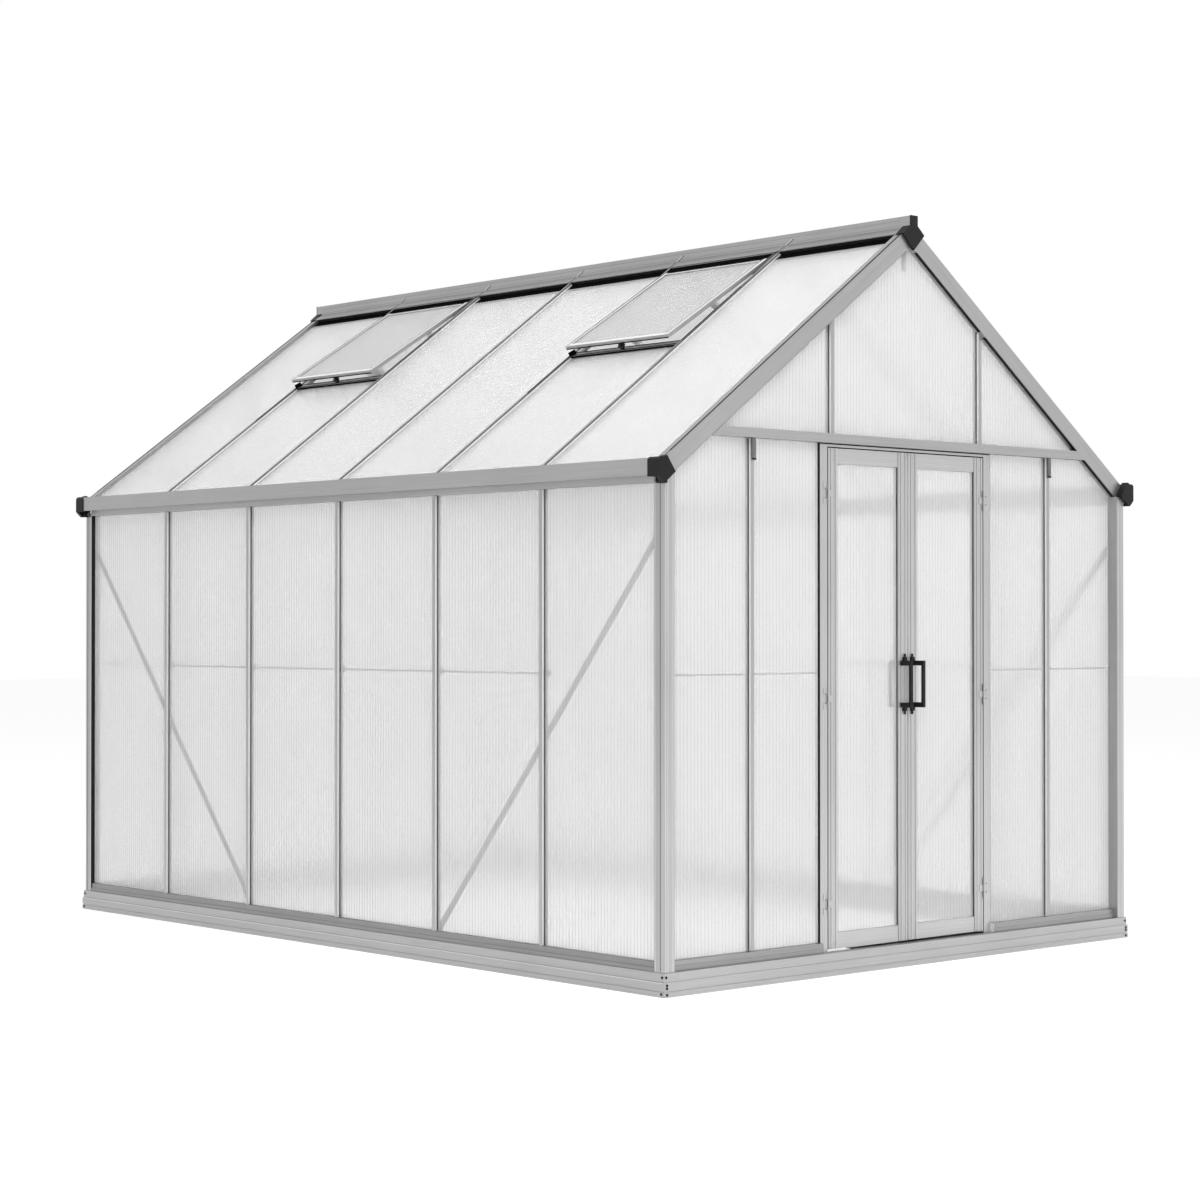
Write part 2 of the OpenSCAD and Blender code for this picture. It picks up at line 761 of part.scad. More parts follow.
module leaf_panel() {
    face = door_in + (leaf_t - door_panel_t) / 2;
    span([meet_gap / 2 + stile_w + seat, face, leaf_z + bottom_rail_h + seat],
         [leaf_edge - stile_w - seat, face + door_panel_t, leaf_top - top_rail_h - seat]);
}

// A pull handle on the outer face at depth 0, standing out towards -Y
module pull_handle(out) {
    x = meet_gap / 2 + handle_in;
    lug_x = meet_gap / 2 + lug_in;
    leg = (handle_h - handle_t) / 2;
    translate([x - handle_w / 2, -out, handle_z - handle_h / 2])
        cube([handle_w, handle_t, handle_h]);
    for (end = [-1, 1]) translate([0, 0, handle_z + end * leg]) {
        span([x - handle_w / 2, -out, -handle_t / 2], [x + handle_w / 2, -seat, handle_t / 2]);
        span([lug_x - lug_w / 2, -lug_t, -handle_t / 2], [x + handle_w / 2, -seat, handle_t / 2]);
    }
    for (end = [0, 1]) translate([lug_x, 0, handle_z]) mirror([0, 0, end]) {
        translate([-lug_w / 2, -lug_t, leg]) cube([lug_w, lug_t - seat, handle_t / 2 + lug_l]);
        translate([0, -lug_t / 2 - seat / 2, leg]) cylinder(r = lug_pin_r, h = handle_t / 2 + lug_l + lug_pin_l);
    }
}
module leaf_handles() {
    translate([0, door_in, 0]) pull_handle(handle_out);
    translate([0, door_in + leaf_t, 0]) mirror([0, 1, 0]) pull_handle(inner_handle_out);
}

// The leaf's knuckle turns on the frame's pin
module leaf_hinges() {
    for (z = hinge_zs) difference() {
        union() {
            translate([hinge_x, hinge_in, z - knuckle_l / 2]) cylinder(r = barrel_r, h = knuckle_l);
            span([hinge_x - leaf_gap / 2 - plate_w, door_in - seat - plate_t, z - knuckle_l / 2],
                 [hinge_x, door_in - seat, z + knuckle_l / 2]);
        }
        translate([hinge_x, hinge_in, z - knuckle_l]) cylinder(r = pin_r + pin_gap, h = 2 * knuckle_l);
    }
}

// The frame's two knuckles and the pin between them
module frame_hinge() {
    for (z = hinge_zs) union() {
        for (end = [-1, 1]) {
            mid = z + end * (knuckle_l + knuckle_gap);
            translate([hinge_x, hinge_in, mid - knuckle_l / 2]) cylinder(r = barrel_r, h = knuckle_l);
            span([hinge_x, door_in - seat - plate_t, mid - knuckle_l / 2],
                 [hinge_x + leaf_gap / 2 + plate_w, door_in - seat, mid + knuckle_l / 2]);
        }
        translate([hinge_x, hinge_in, z - knuckle_l]) cylinder(r = pin_r, h = 2 * knuckle_l);
    }
}
module frame_hinges() { color(metal) on_front() both_sides() frame_hinge(); }

module left_leaf_frame() { color(metal) mirror([1, 0, 0]) on_front() leaf_frame(); }
module left_leaf_panel() { color(sheet) mirror([1, 0, 0]) on_front() leaf_panel(); }
module left_leaf_handles() { color(black) mirror([1, 0, 0]) on_front() leaf_handles(); }
module left_leaf_hinges() { color(metal) mirror([1, 0, 0]) on_front() leaf_hinges(); }
module right_leaf_frame() { color(metal) on_front() leaf_frame(); }
module right_leaf_panel() { color(sheet) on_front() leaf_panel(); }
module right_leaf_handles() { color(black) on_front() leaf_handles(); }
module right_leaf_hinges() { color(metal) on_front() leaf_hinges(); }

// ---------- roof vents ----------

// Puts a vent's own frame at each vent bay: X down the vent, Z out of it, Y centred
module at_vents() {
    on_left_slope() for (k = vent_bays)
        translate([0, (bar_y(k) + bar_y(k + 1)) / 2, 0]) children();
}
module at_open_vents() {
    at_vents() translate([vent_hinge_s, 0, vent_hinge_n]) rotate([0, -vent_open, 0]) children();
}

module vent_frames() {
    low = -vent_rod_r;
    high = low + vent_t;
    w = vent_w / 2;
    first = vent_rod_r - 2;
    color(metal) at_open_vents() {
        union() {
            translate([0, w, 0]) rotate([90, 0, 0]) cylinder(r = vent_rod_r, h = vent_w);
            span([first, -w, low], [first + vent_rail_w, w, high]);
        }
        span([vent_l - vent_rail_w, -w, low], [vent_l, w, high]);
        for (side = [-1, 1])
            translate([first + vent_rail_w + seat, side * (w - vent_rail_w / 2) - vent_rail_w / 2, low])
                cube([vent_l - first - 2 * vent_rail_w - 2 * seat, vent_rail_w, vent_t]);
    }
}

module vent_panels() {
    low = -vent_rod_r + (vent_t - vent_panel_t) / 2;
    w = vent_w / 2 - vent_rail_w - seat;
    x0 = vent_rod_r - 2 + vent_rail_w + seat;
    color(sheet) at_open_vents()
        span([x0, -w, low], [vent_l - vent_rail_w - seat, w, low + vent_panel_t]);
}

module vent_crossbars() {
    w = (bay - roof_cap_w) / 2 - seat;
    color(metal) at_vents()
        span([crossbar_s, -w, panel_top_n + seat], [crossbar_s + crossbar_w, w, panel_top_n + bar_rise]);
}

// The stay stands on the cross bar, holds the vent's lower rail and carries a turned knob
module vent_stays() {
    low = panel_top_n + bar_rise + seat;
    at = crossbar_s + crossbar_w - stay_r - 1;
    under = vent_hinge_n - vent_rod_r / cos(vent_open) + (at - stay_r - vent_hinge_s) * tan(vent_open);
    side = knob_w / sqrt(2);
    color(black) at_vents() translate([at, 0, low]) union() {
        cylinder(r = stay_r, h = under - seat - low);
        translate([-stay_r - 1.5, 0, knob_w / 2 + 1]) rotate([45, 0, 0])
            translate([0, -side / 2, -side / 2]) cube([2 * stay_r + 3, side, side]);
    }
}

base_front();
base_back();
base_left();
base_right();
sill_front();
sill_back();
sill_left();
sill_right();
corner_posts();
wall_bars_left();
wall_bars_right();
mid_rails_side();
mid_rails_gable();
wall_braces();
eave_beam_left();
eave_beam_right();
ridge_beam();
ridge_seals();
ridge_clips();
roof_bars_left();
roof_bars_right();
gable_rafters_front();
gable_rafters_back();
gable_ties();
gable_mullions_front();
gable_mullions_back();
hanger_brackets();
eave_connectors();
ridge_connectors();
wall_panels_left();
wall_panels_right();
roof_panels_left();
roof_panels_right();
gable_panels_front();
gable_panels_back();
door_frame();
frame_hinges();
left_leaf_frame();
left_leaf_panel();
left_leaf_handles();
left_leaf_hinges();
right_leaf_frame();
right_leaf_panel();
right_leaf_handles();
right_leaf_hinges();
vent_frames();
vent_panels();
vent_crossbars();
vent_stays();
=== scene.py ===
import math

import bmesh
import bpy
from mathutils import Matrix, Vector


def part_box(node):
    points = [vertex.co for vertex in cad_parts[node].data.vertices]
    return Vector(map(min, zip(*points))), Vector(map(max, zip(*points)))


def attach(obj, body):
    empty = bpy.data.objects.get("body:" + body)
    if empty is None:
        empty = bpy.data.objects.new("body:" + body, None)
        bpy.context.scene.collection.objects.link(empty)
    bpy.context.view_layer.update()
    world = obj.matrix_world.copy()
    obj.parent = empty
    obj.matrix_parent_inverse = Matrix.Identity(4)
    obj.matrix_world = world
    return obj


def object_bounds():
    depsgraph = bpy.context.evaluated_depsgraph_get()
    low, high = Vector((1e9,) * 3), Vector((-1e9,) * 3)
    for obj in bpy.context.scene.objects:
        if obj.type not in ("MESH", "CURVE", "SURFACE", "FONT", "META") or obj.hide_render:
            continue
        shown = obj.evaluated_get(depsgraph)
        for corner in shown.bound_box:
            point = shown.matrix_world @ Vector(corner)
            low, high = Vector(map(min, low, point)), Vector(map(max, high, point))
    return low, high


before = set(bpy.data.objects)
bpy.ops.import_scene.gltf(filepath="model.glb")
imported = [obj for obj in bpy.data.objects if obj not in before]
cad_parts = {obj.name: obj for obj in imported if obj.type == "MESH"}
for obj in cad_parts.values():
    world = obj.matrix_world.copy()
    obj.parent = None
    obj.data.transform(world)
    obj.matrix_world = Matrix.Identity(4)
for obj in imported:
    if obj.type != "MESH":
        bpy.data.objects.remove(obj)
cadLow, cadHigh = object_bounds()
print("greenhouse frame loaded")


# One socket, so that shader maths can be written as plain expressions
class Wire:
    def __init__(self, board, socket):
        self.board = board
        self.socket = socket

    def join(self, operation, first, second):
        return self.board.add("Math", {"operation": operation}, {0: first, 1: second})

    def __add__(self, other):
        return self.join("ADD", self, other)

    def __radd__(self, other):
        return self.join("ADD", other, self)

    def __sub__(self, other):
        return self.join("SUBTRACT", self, other)

    def __rsub__(self, other):
        return self.join("SUBTRACT", other, self)

    def __mul__(self, other):
        return self.join("MULTIPLY", self, other)

    def __rmul__(self, other):
        return self.join("MULTIPLY", other, self)

    def __truediv__(self, other):
        return self.join("DIVIDE", self, other)

    def __rtruediv__(self, other):
        return self.join("DIVIDE", other, self)

    def __mod__(self, other):
        return self.join("FLOORED_MODULO", self, other)

    def __rmod__(self, other):
        return self.join("FLOORED_MODULO", other, self)

    def __gt__(self, other):
        return self.join("GREATER_THAN", self, other)

    def __lt__(self, other):
        return self.join("LESS_THAN", self, other)

    def __abs__(self):
        return self.join("ABSOLUTE", self, 0.0)

    def largest(self, other):
        return self.join("MAXIMUM", self, other)


# A node tree that is being drawn
class Board:
    def __init__(self, tree):
        self.tree = tree
        tree.nodes.clear()

    def add(self, kind, settings=None, sockets=None, out=0):
        node = self.tree.nodes.new("ShaderNode" + kind)
        for name, value in (settings or {}).items():
            if name == "stops":
                self.setStops(node.color_ramp, value)
            else:
                setattr(node, name, value)
        for name, value in (sockets or {}).items():
            if isinstance(value, Wire):
                self.tree.links.new(value.socket, node.inputs[name])
            else:
                node.inputs[name].default_value = value
        return Wire(self, node.outputs[out]) if node.outputs else None

    def setStops(self, ramp, stops):
        while len(ramp.elements) < len(stops):
            ramp.elements.new(0.5)
        for element, (place, level) in zip(ramp.elements, stops):
            element.position = place
            element.color = grey(level)

    def other(self, wire, out):  # another output of the same node
        return Wire(self, wire.socket.node.outputs[out])

    def point(self):  # where a surface point is, in the greenhouse's own metres
        return self.add("TexCoord", out=3)

    def parts(self, vector):
        x = self.add("SeparateXYZ", {}, {0: vector})
        return x, self.other(x, 1), self.other(x, 2)

    def vector(self, x, y, z):
        return self.add("CombineXYZ", {}, {0: x, 1: y, 2: z})

    def noise(self, vector, scale, detail=2.0, rough=0.5):
        sockets = {"Vector": vector, "Scale": scale, "Detail": detail, "Roughness": rough}
        return self.add("TexNoise", {}, sockets)

    def ramp(self, value, stops):
        return self.add("ValToRGB", {"stops": stops}, {0: value})

    def tint(self, factor, first, second):  # a grey between two others
        sockets = {0: factor, 6: grey(first), 7: grey(second)}
        return self.add("Mix", {"data_type": "RGBA"}, sockets, out=2)

    def choose(self, factor, first, second):  # a vector between two others
        return self.add("Mix", {"data_type": "VECTOR"}, {0: factor, 4: first, 5: second}, out=1)

    def bump(self, height, distance):
        return self.add("Bump", {}, {"Height": height, "Distance": distance})

    def finish(self, sockets):
        shader = self.add("BsdfPrincipled", {}, sockets)
        self.add("OutputMaterial", {}, {"Surface": shader})


def newBoard(name):
    material = bpy.data.materials.new(name)
    material.use_nodes = True
    return material, Board(material.node_tree)


def grey(level):
    return (level, level, level, 1)


def around(middle, noise, spread):  # a value that a noise moves up and down
    return middle + noise * spread - spread / 2


slopeTurn = math.radians(35.96)
slopeCos, slopeSin = math.cos(slopeTurn), math.sin(slopeTurn)

metalLook = {
    "dark": 0.36, "light": 0.47, "stops": ((0.3, 0.0), (0.7, 1.0)),
    "metallic": 0.85, "roughness": 0.36, "roughSpread": 0.14,
    "streaks": (420.0, 2.2), "cloudScale": 3.1, "cloudShare": 0.25, "grain": 0.00004,
}


# Extruded aluminium, drawn along x, y, z or the roof's slope, with the fine lines of its die
def makeMetal(name, run, railSpan=None, **changes):
    look = dict(metalLook, **changes)
    material, board = newBoard(name)
    x, y, z = board.parts(board.point())
    across, along = look["streaks"]
    if run == "slope":
        down = abs(x) * slopeCos - z * slopeSin
        up = abs(x) * slopeSin + z * slopeCos
        place = board.vector(down * along, y * across, up * across)
    else:
        scales = [along if run == axis else across for axis in "xyz"]
        place = board.vector(x * scales[0], y * scales[1], z * scales[2])
    if railSpan:  # rails run across between the stiles
        inside = (x > railSpan[0]) * (x < railSpan[1])
        place = board.choose(inside, place, board.vector(x * along, y * across, z * across))
    streaks = board.noise(place, 1.0, detail=3.0, rough=0.6)
    cloud = board.noise(board.point(), look["cloudScale"])
    blend = streaks * (1 - look["cloudShare"]) + cloud * look["cloudShare"]
    shade = board.ramp(blend, look["stops"])
    board.finish({
        "Base Color": board.tint(shade, look["dark"], look["light"]),
        "Metallic": look["metallic"],
        "Roughness": around(look["roughness"], streaks, look["roughSpread"]),
        "Normal": board.bump(streaks, look["grain"]),
    })
    return material


sheetLook = {
    "clear": 1.0, "rib": 0.93, "pitch": 0.0165, "ribStops": ((0.52, 0.0), (0.85, 1.0)),
    "ribLeast": 0.35, "ribSpread": 1.15, "fade": (9.0, 1.1),
    "roughness": 0.22, "cloudScale": 1.7, "cloudSpread": 0.06, "hazeScale": 260.0, "hazeSpread": 0.04,
    "transmission": 0.66, "index": 1.25, "wave": 0.00022,
}


# Twin-wall sheet: milky, with a wall between its two skins at every pitch
def makeSheet(name, run, **changes):
    look = dict(sheetLook, **changes)
    material, board = newBoard(name)
    x, y, z = board.parts(board.point())
    across = x if run == "x" else y
    fromRib = abs((across / look["pitch"]) % 1.0 - 0.5) * 2.0
    rib = board.ramp(fromRib, look["ribStops"])
    cloud = board.noise(board.point(), look["cloudScale"])
    haze = board.noise(board.point(), look["hazeScale"])
    wide, tall = look["fade"]
    patches = board.noise(board.vector(across * wide, z * tall, 0.0), 1.0)
    fade = patches * look["ribSpread"] + look["ribLeast"]
    rough = around(look["roughness"], cloud, look["cloudSpread"])
    board.finish({
        "Base Color": board.tint(rib * fade, look["clear"], look["rib"]),
        "Roughness": around(rough, haze, look["hazeSpread"]),
        "IOR": look["index"],
        "Transmission Weight": look["transmission"],
        "Normal": board.bump(fromRib * fromRib, look["wave"]),
    })
    return material


# Each noise is given by its scale, its detail and its roughness
plasticLook = {
    "dark": 0.005, "worn": 0.014, "patch": (26.0, 3.0, 0.5), "grain": (620.0, 3.0, 0.6), "patchShare": 0.6,
    "roughness": 0.47, "roughSpread": 0.14, "gloss": 0.2, "relief": 0.00012,
}
rubberLook = {
    "dark": 0.006, "worn": 0.016, "patch": (60.0, 4.0, 0.6), "grain": (800.0, 2.0, 0.5), "patchShare": 1.0,
    "roughness": 0.68, "roughSpread": 0.16, "gloss": 0.25, "relief": 0.00006,
}


# Black moulded plastic with a fine spark-eroded grain, or black rubber with dust on it. The rubber colours
# serve real seals and also paint shade as dark lines and strips
def makeBlack(name, look):
    material, board = newBoard(name)
    patch = board.noise(board.point(), *look["patch"])
    grain = board.noise(board.point(), *look["grain"])
    wear = patch * look["patchShare"] + grain * (1 - look["patchShare"])
    board.finish({
        "Base Color": board.tint(wear, look["dark"], look["worn"]),
        "Roughness": around(look["roughness"], patch, look["roughSpread"]),
        "Specular IOR Level": look["gloss"],
        "Normal": board.bump(grain, look["relief"]),
    })
    return material


webLook = {
    "level": 0.56, "worn": 0.68, "wearScale": 40.0, "roughness": 0.6, "gloss": 0.1,
    "least": 0.06, "spread": 0.26, "fade": (7.0, 0.9),
}


# The inner webs of the sheet show as fine lines that fade in and out
def makeWeb(name, **changes):
    look = dict(webLook, **changes)
    material, board = newBoard(name)
    x, y, z = board.parts(board.point())
    wide, tall = look["fade"]
    fade = board.noise(board.vector(x * wide, y * wide, z * tall), 1.0)
    wear = board.noise(board.point(), look["wearScale"])
    board.finish({
        "Base Color": board.tint(wear, look["level"], look["worn"]),
        "Roughness": look["roughness"],
        "Specular IOR Level": look["gloss"],
        "Alpha": fade * look["spread"] + look["least"],
    })
    return material


metalX = makeMetal("aluminiumAlongX", "x")
metalY = makeMetal("aluminiumAlongY", "y")
metalZ = makeMetal("aluminiumUpright", "z")
metalSlope = makeMetal("aluminiumSloping", "slope")
# A lighter copy of the aluminium for the front and back base: painted light
litBaseX = makeMetal("baseAluminiumPaintedLightX", "x", dark=0.40, light=0.52)
# Darker copies of the aluminium for the sills, the side sills darkest: painted shade
shadedSillX = makeMetal("sillAluminiumPaintedShadeX", "x", dark=0.28, light=0.38)
shadedSillY = makeMetal("sillAluminiumPaintedShadeY", "y", dark=0.21, light=0.30)
# A darker copy of the aluminium for the braces inside: painted shade
shadedBraceMetal = makeMetal("bracingAluminiumPaintedShade", "z", dark=0.28, light=0.38)
# A near-white copy of the aluminium for beads that stand for highlights: painted highlight
highlightMetal = makeMetal("paintedHighlightBeads", "z", dark=0.62, light=0.74)
# Pale strips laid over faces and edges that lie in shade: painted light
paintedLightTrim = makeMetal("paleStripsPaintedLight", "z", dark=0.74, light=0.84, metallic=0.3)
# Zinc-plated steel for screws and nuts; its darker grey also paints the shade in the ridge beam's grooves
steelAndGrooveShade = makeMetal("zincPlatedSteelAndGrooveShade", "z", dark=0.20, light=0.34, roughness=0.30)
darkMetal = makeMetal("hangerSteel", "z", dark=0.15, light=0.20)
blackSteel = makeMetal("blackenedSteel", "z", dark=0.012, light=0.03)
# A lighter copy of the aluminium for the door, its beads and rivets and the pale faces on the posts:
# painted light
litDoorLevels = {"dark": 0.46, "light": 0.60}
litDoorMetal = makeMetal("doorAluminiumPaintedLight", "z", **litDoorLevels)
sheetX = makeSheet("twinWallRibsAcrossX", "x", clear=0.985)
sheetY = makeSheet("twinWallRibsAcrossY", "y")
sheetLeaf = makeSheet("twinWallLeaves", "x", clear=0.985, roughness=0.11)
sheetRoof = makeSheet("twinWallRoof", "y", clear=0.965, rib=0.94, transmission=0.70)
# A darker copy of the twin-wall sheet for the open vents: painted shade
shadedSheetVent = makeSheet("twinWallVentsPaintedShade", "y", clear=0.77, rib=0.73)
web = makeWeb("sheetWebs")
# A paler copy of the webs for the roof: painted light
litRoofWeb = makeWeb("roofWebsPaintedLight", level=0.74, worn=0.82, least=0.05, spread=0.22)
plastic = makeBlack("blackPlastic", plasticLook)
# Black, deep black and grey rubber for the seals; the same colours also paint shade in dark lines and
# strips below
rubberAndShade = makeBlack("blackSealAndPaintedShade", rubberLook)
deepRubberAndShade = makeBlack("deepBlackSealAndPaintedShade", dict(rubberLook, dark=0.002, worn=0.006, gloss=0.0))
greyRubberAndShade = makeBlack("greySealAndPaintedShade", dict(rubberLook, dark=0.045, worn=0.085))


def litLeafMetal(side):
    low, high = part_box(side + "_leaf_panel")
    return makeMetal(side + "LeafAluminium", "z", (low.x, high.x), **litDoorLevels)


coats = {
    litBaseX: "base_front base_back",
    shadedSillX: "sill_front sill_back", shadedSillY: "sill_left sill_right",
    metalX: "mid_rails_gable gable_ties",
    metalY: "base_left base_right mid_rails_side eave_beam_left eave_beam_right ridge_beam ridge_clips"
            " vent_crossbars",
    metalZ: "corner_posts wall_bars_left wall_bars_right gable_mullions_front gable_mullions_back",
    metalSlope: "roof_bars_left roof_bars_right gable_rafters_front gable_rafters_back vent_frames",
    shadedBraceMetal: "wall_braces", darkMetal: "hanger_brackets",
    litDoorMetal: "door_frame frame_hinges left_leaf_hinges right_leaf_hinges",
    litLeafMetal("left"): "left_leaf_frame", litLeafMetal("right"): "right_leaf_frame",
    sheetX: "gable_panels_front gable_panels_back",
    sheetY: "wall_panels_left wall_panels_right",
    sheetRoof: "roof_panels_left roof_panels_right",
    sheetLeaf: "left_leaf_panel right_leaf_panel", shadedSheetVent: "vent_panels",
    plastic: "eave_connectors ridge_connectors left_leaf_handles right_leaf_handles vent_stays",
    rubberAndShade: "ridge_seals",
}
finishes = {nodeName: finish for finish, names in coats.items() for nodeName in names.split()}
for nodeName, finish in finishes.items():
    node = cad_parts[nodeName]
    node.data.materials.clear()
    node.data.materials.append(finish)
print("materials on", len(finishes), "CAD pieces")


# A point in the roof's own terms: how far down the slope, along the roof, and out of the slope
def toSlope(point):
    side = abs(point[0])
    return side * slopeCos - point[2] * slopeSin, point[1], side * slopeSin + point[2] * slopeCos


def fromSlope(side, down, along, out):  # side is -1 on the left slope and 1 on the right
    return Vector((side * (down * slopeCos + out * slopeSin), along, out * slopeCos - down * slopeSin))


slopes = ((-1, "left"), (1, "right"))


def slopeOut(side):
    return Vector((side * slopeSin, 0, slopeCos))


def unit(axis, sign=1.0):
    out = Vector((0, 0, 0))
    out[axis] = sign
    return out


# Which way a piece faces along an axis, and where its outer face lies
def outerFace(low, high, axis):
    sign = math.copysign(1.0, low[axis])
    return sign, low[axis] if sign < 0 else high[axis]


# The corners of each separate solid of a CAD node
def cornersOf(name):
    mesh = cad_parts[name].data
    spots = [tuple(round(value, 5) for value in vertex.co) for vertex in mesh.vertices]
    leader = {spot: spot for spot in spots}

    def head(spot):
        while leader[spot] != spot:
            spot = leader[spot]
        return spot

    for face in mesh.polygons:
        first = head(spots[face.vertices[0]])
        for corner in face.vertices[1:]:
            leader[head(spots[corner])] = first
    groups = {}
    for spot in leader:
        groups.setdefault(head(spot), []).append(spot)
    return list(groups.values())


# The same solids, each as its lowest and highest corner
def solidsOf(name, sloped=False):
    groups = cornersOf(name)
    if sloped:
        groups = [[toSlope(spot) for spot in group] for group in groups]
    solids = [(Vector(map(min, zip(*group))), Vector(map(max, zip(*group)))) for group in groups]
    return sorted(solids, key=lambda solid: tuple(round(value, 3) for value in solid[0]))


sunk = 0.0002  # how deep every strip and bead starts under the face that carries it
eased = 0.25  # what a strip's upper corners lose, as a share of its smaller side


# A mesh under construction: runs of one section, and turned pieces
class Shape:
    def __init__(self):
        self.mesh = bmesh.new()

    def skin(self, rings):
        rings = [[self.mesh.verts.new(point) for point in ring] for ring in rings]
        for first, second in zip(rings, rings[1:]):
            for step in range(len(first)):
                self.mesh.faces.new((first[step - 1], first[step], second[step], second[step - 1]))
        self.mesh.faces.new(reversed(rings[0]))
        self.mesh.faces.new(rings[-1])

    def run(self, start, end, out, section):  # the section's second number points along out
        start, end = Vector(start), Vector(end)
        along = (end - start).normalized()
        side = along.cross(Vector(out)).normalized()
        up = side.cross(along)
        self.skin([[place + side * u + up * v for u, v in section] for place in (start, end)])

    def upright(self, x, y, span, out, section):
        self.run((x, y, span[0]), (x, y, span[1]), out, section)

    def downSlope(self, side, downs, along, height, section, out=None):
        ends = [fromSlope(side, down, along, height) for down in downs]
        self.run(*ends, out or slopeOut(side), section)

    def alongSlope(self, side, down, alongs, height, section, out=None):
        ends = [fromSlope(side, down, along, height) for along in alongs]
        self.run(*ends, out or slopeOut(side), section)

    def turned(self, place, out, steps, sides=12):  # steps are pairs of radius and height
        out = Vector(out).normalized()
        one = out.orthogonal().normalized()
        two = out.cross(one)
        angles = [2 * math.pi * step / sides for step in range(sides)]
        place = Vector(place)
        self.skin([
            [place + out * height + (one * math.cos(a) + two * math.sin(a)) * radius for a in angles]
            for radius, height in steps
        ])

    def release(self, name, finish, slotName, body="frame"):
        bmesh.ops.recalc_face_normals(self.mesh, faces=self.mesh.faces)
        data = bpy.data.meshes.new(name)
        self.mesh.to_mesh(data)
        self.mesh.free()
        data.materials.append(finish)
        piece = bpy.data.objects.new(name, data)
        bpy.context.scene.collection.objects.link(piece)
        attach(piece, body)


def strip(width, height):  # a flat strip with eased upper corners
    half, ease = width / 2, min(width, height) * eased
    return [(-half, -sunk), (-half, height - ease), (-half + ease, height),
            (half - ease, height), (half, height - ease), (half, -sunk)]


def bead(width, height, steps=6):  # a rounded rib
    arc = [math.pi * step / steps for step in range(steps + 1)]
    return [(-width / 2 * math.cos(a), height * math.sin(a) - sunk) for a in arc]


# Profiles are shares of the radius and height; a screw's ends in the recess for the driver
screwLook = {
    "radius": 0.0042, "height": 0.0022,
    "profile": ((1, 0.35), (0.86, 0.78), (0.55, 1), (0.40, 0.97), (0.22, 0.45)),
}
nutLook = {
    "radius": 0.0055, "height": 0.004, "profile": ((1, 0.75), (0.84, 1)),
    "stud": ((0.5, 0.9), (0.5, 1.5), (0.36, 1.7)), "studSides": 10,
}


def stepsOf(look, key, scale=1.0):
    radius, height = look["radius"] * scale, look["height"] * scale
    return [(radius * wide, height * tall) for wide, tall in look[key]]


def panHead(shape, place, out, scale=1.0):
    foot = (screwLook["radius"] * scale, -sunk)
    shape.turned(place, out, [foot] + stepsOf(screwLook, "profile", scale))


def hexNut(shape, place, out):
    shape.turned(place, out, [(nutLook["radius"], -sunk)] + stepsOf(nutLook, "profile"), 6)
    shape.turned(place, out, stepsOf(nutLook, "stud"), nutLook["studSides"])


barLook = {
    "cap": 0.015, "endGap": 0.001, "paintedLight": 0.0007, "paintedLightFoot": 0.0042, "paintedLightHead": 0.0016,
    "gasket": (0.0034, 0.0028),
}


# Every upright glazing bar has pale strips on its flanks, painted light over their shade, and a black strip
# at its foot, partly a gasket and partly painted shade
def paintBarFlanks():
    paintedLight, gasket = Shape(), Shape()
    for name, axis, panelName in (("wall_bars_left", 0, "wall_panels_left"),
                                  ("wall_bars_right", 0, "wall_panels_right"),
                                  ("gable_mullions_front", 1, "gable_panels_front"),
                                  ("gable_mullions_back", 1, "gable_panels_back")):
        outward, glass = outerFace(*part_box(panelName), axis)
        across = 1 - axis
        for low, high in solidsOf(name):
            rise = abs(outerFace(low, high, axis)[1] - glass)
            middle = (low[across] + high[across]) / 2
            width = rise - barLook["paintedLightFoot"] - barLook["paintedLightHead"]
            for side in (-1.0, 1.0):
                foot = Vector((0, 0, low.z + barLook["endGap"]))
                foot[across] = middle + side * barLook["cap"] / 2
                foot[axis] = glass + outward * (rise + barLook["paintedLightFoot"]) / 2
                top = foot.copy()
                top.z = high.z - barLook["endGap"]
                # Pale strips on both flanks: painted light
                paintedLight.run(foot, top, unit(across, side), strip(width, barLook["paintedLight"]))
                foot[axis] = top[axis] = glass + outward * barLook["gasket"][0] / 2
                gasket.run(foot, top, unit(across, side), strip(*barLook["gasket"]))
    paintedLight.release("bar_flanks_painted_light", paintedLightTrim, "aluminium_frame")
    gasket.release("bar_gaskets_and_painted_shade", greyRubberAndShade, "black_seal")


roofBarLook = {
    "cap": 0.011, "widest": 0.02, "endGap": 0.002, "clear": 0.0010,
    "paintedLight": 0.0006, "shadow": (0.0042, 0.0005),
}


# Roof bars carry the same pale strips of painted light, with a painted shadow line under the edge of the
# cap
def paintRoofBarFlanks():
    look, paintedLight, shadow = roofBarLook, Shape(), Shape()
    deep, clear = look["shadow"][0], look["clear"]
    for side, end in slopes:
        glass = max(high.z for low, high in solidsOf("roof_panels_" + end, True))
        for low, high in solidsOf("roof_bars_" + end, True):
            wide, middle = high.y - low.y, (low.y + high.y) / 2
            half = (wide if wide < look["widest"] else look["cap"]) / 2
            downs = (low.x + look["endGap"], high.x - look["endGap"])
            tall = high.z - glass - deep - 2 * clear
            for face in (-1, 1):
                for shape, height, section in (
                    (shadow, high.z - clear - deep / 2, strip(*look["shadow"])),
                    (paintedLight, (glass + high.z - deep) / 2, strip(tall, look["paintedLight"])),
                ):
                    shape.downSlope(side, downs, middle + face * half, height, section, (0, face, 0))
    paintedLight.release("roof_bar_flanks_painted_light", paintedLightTrim, "aluminium_frame")
    shadow.release("roof_bar_painted_shadows", greyRubberAndShade, "black_seal")


paintBarFlanks()
paintRoofBarFlanks()
print("bar linings and gaskets")


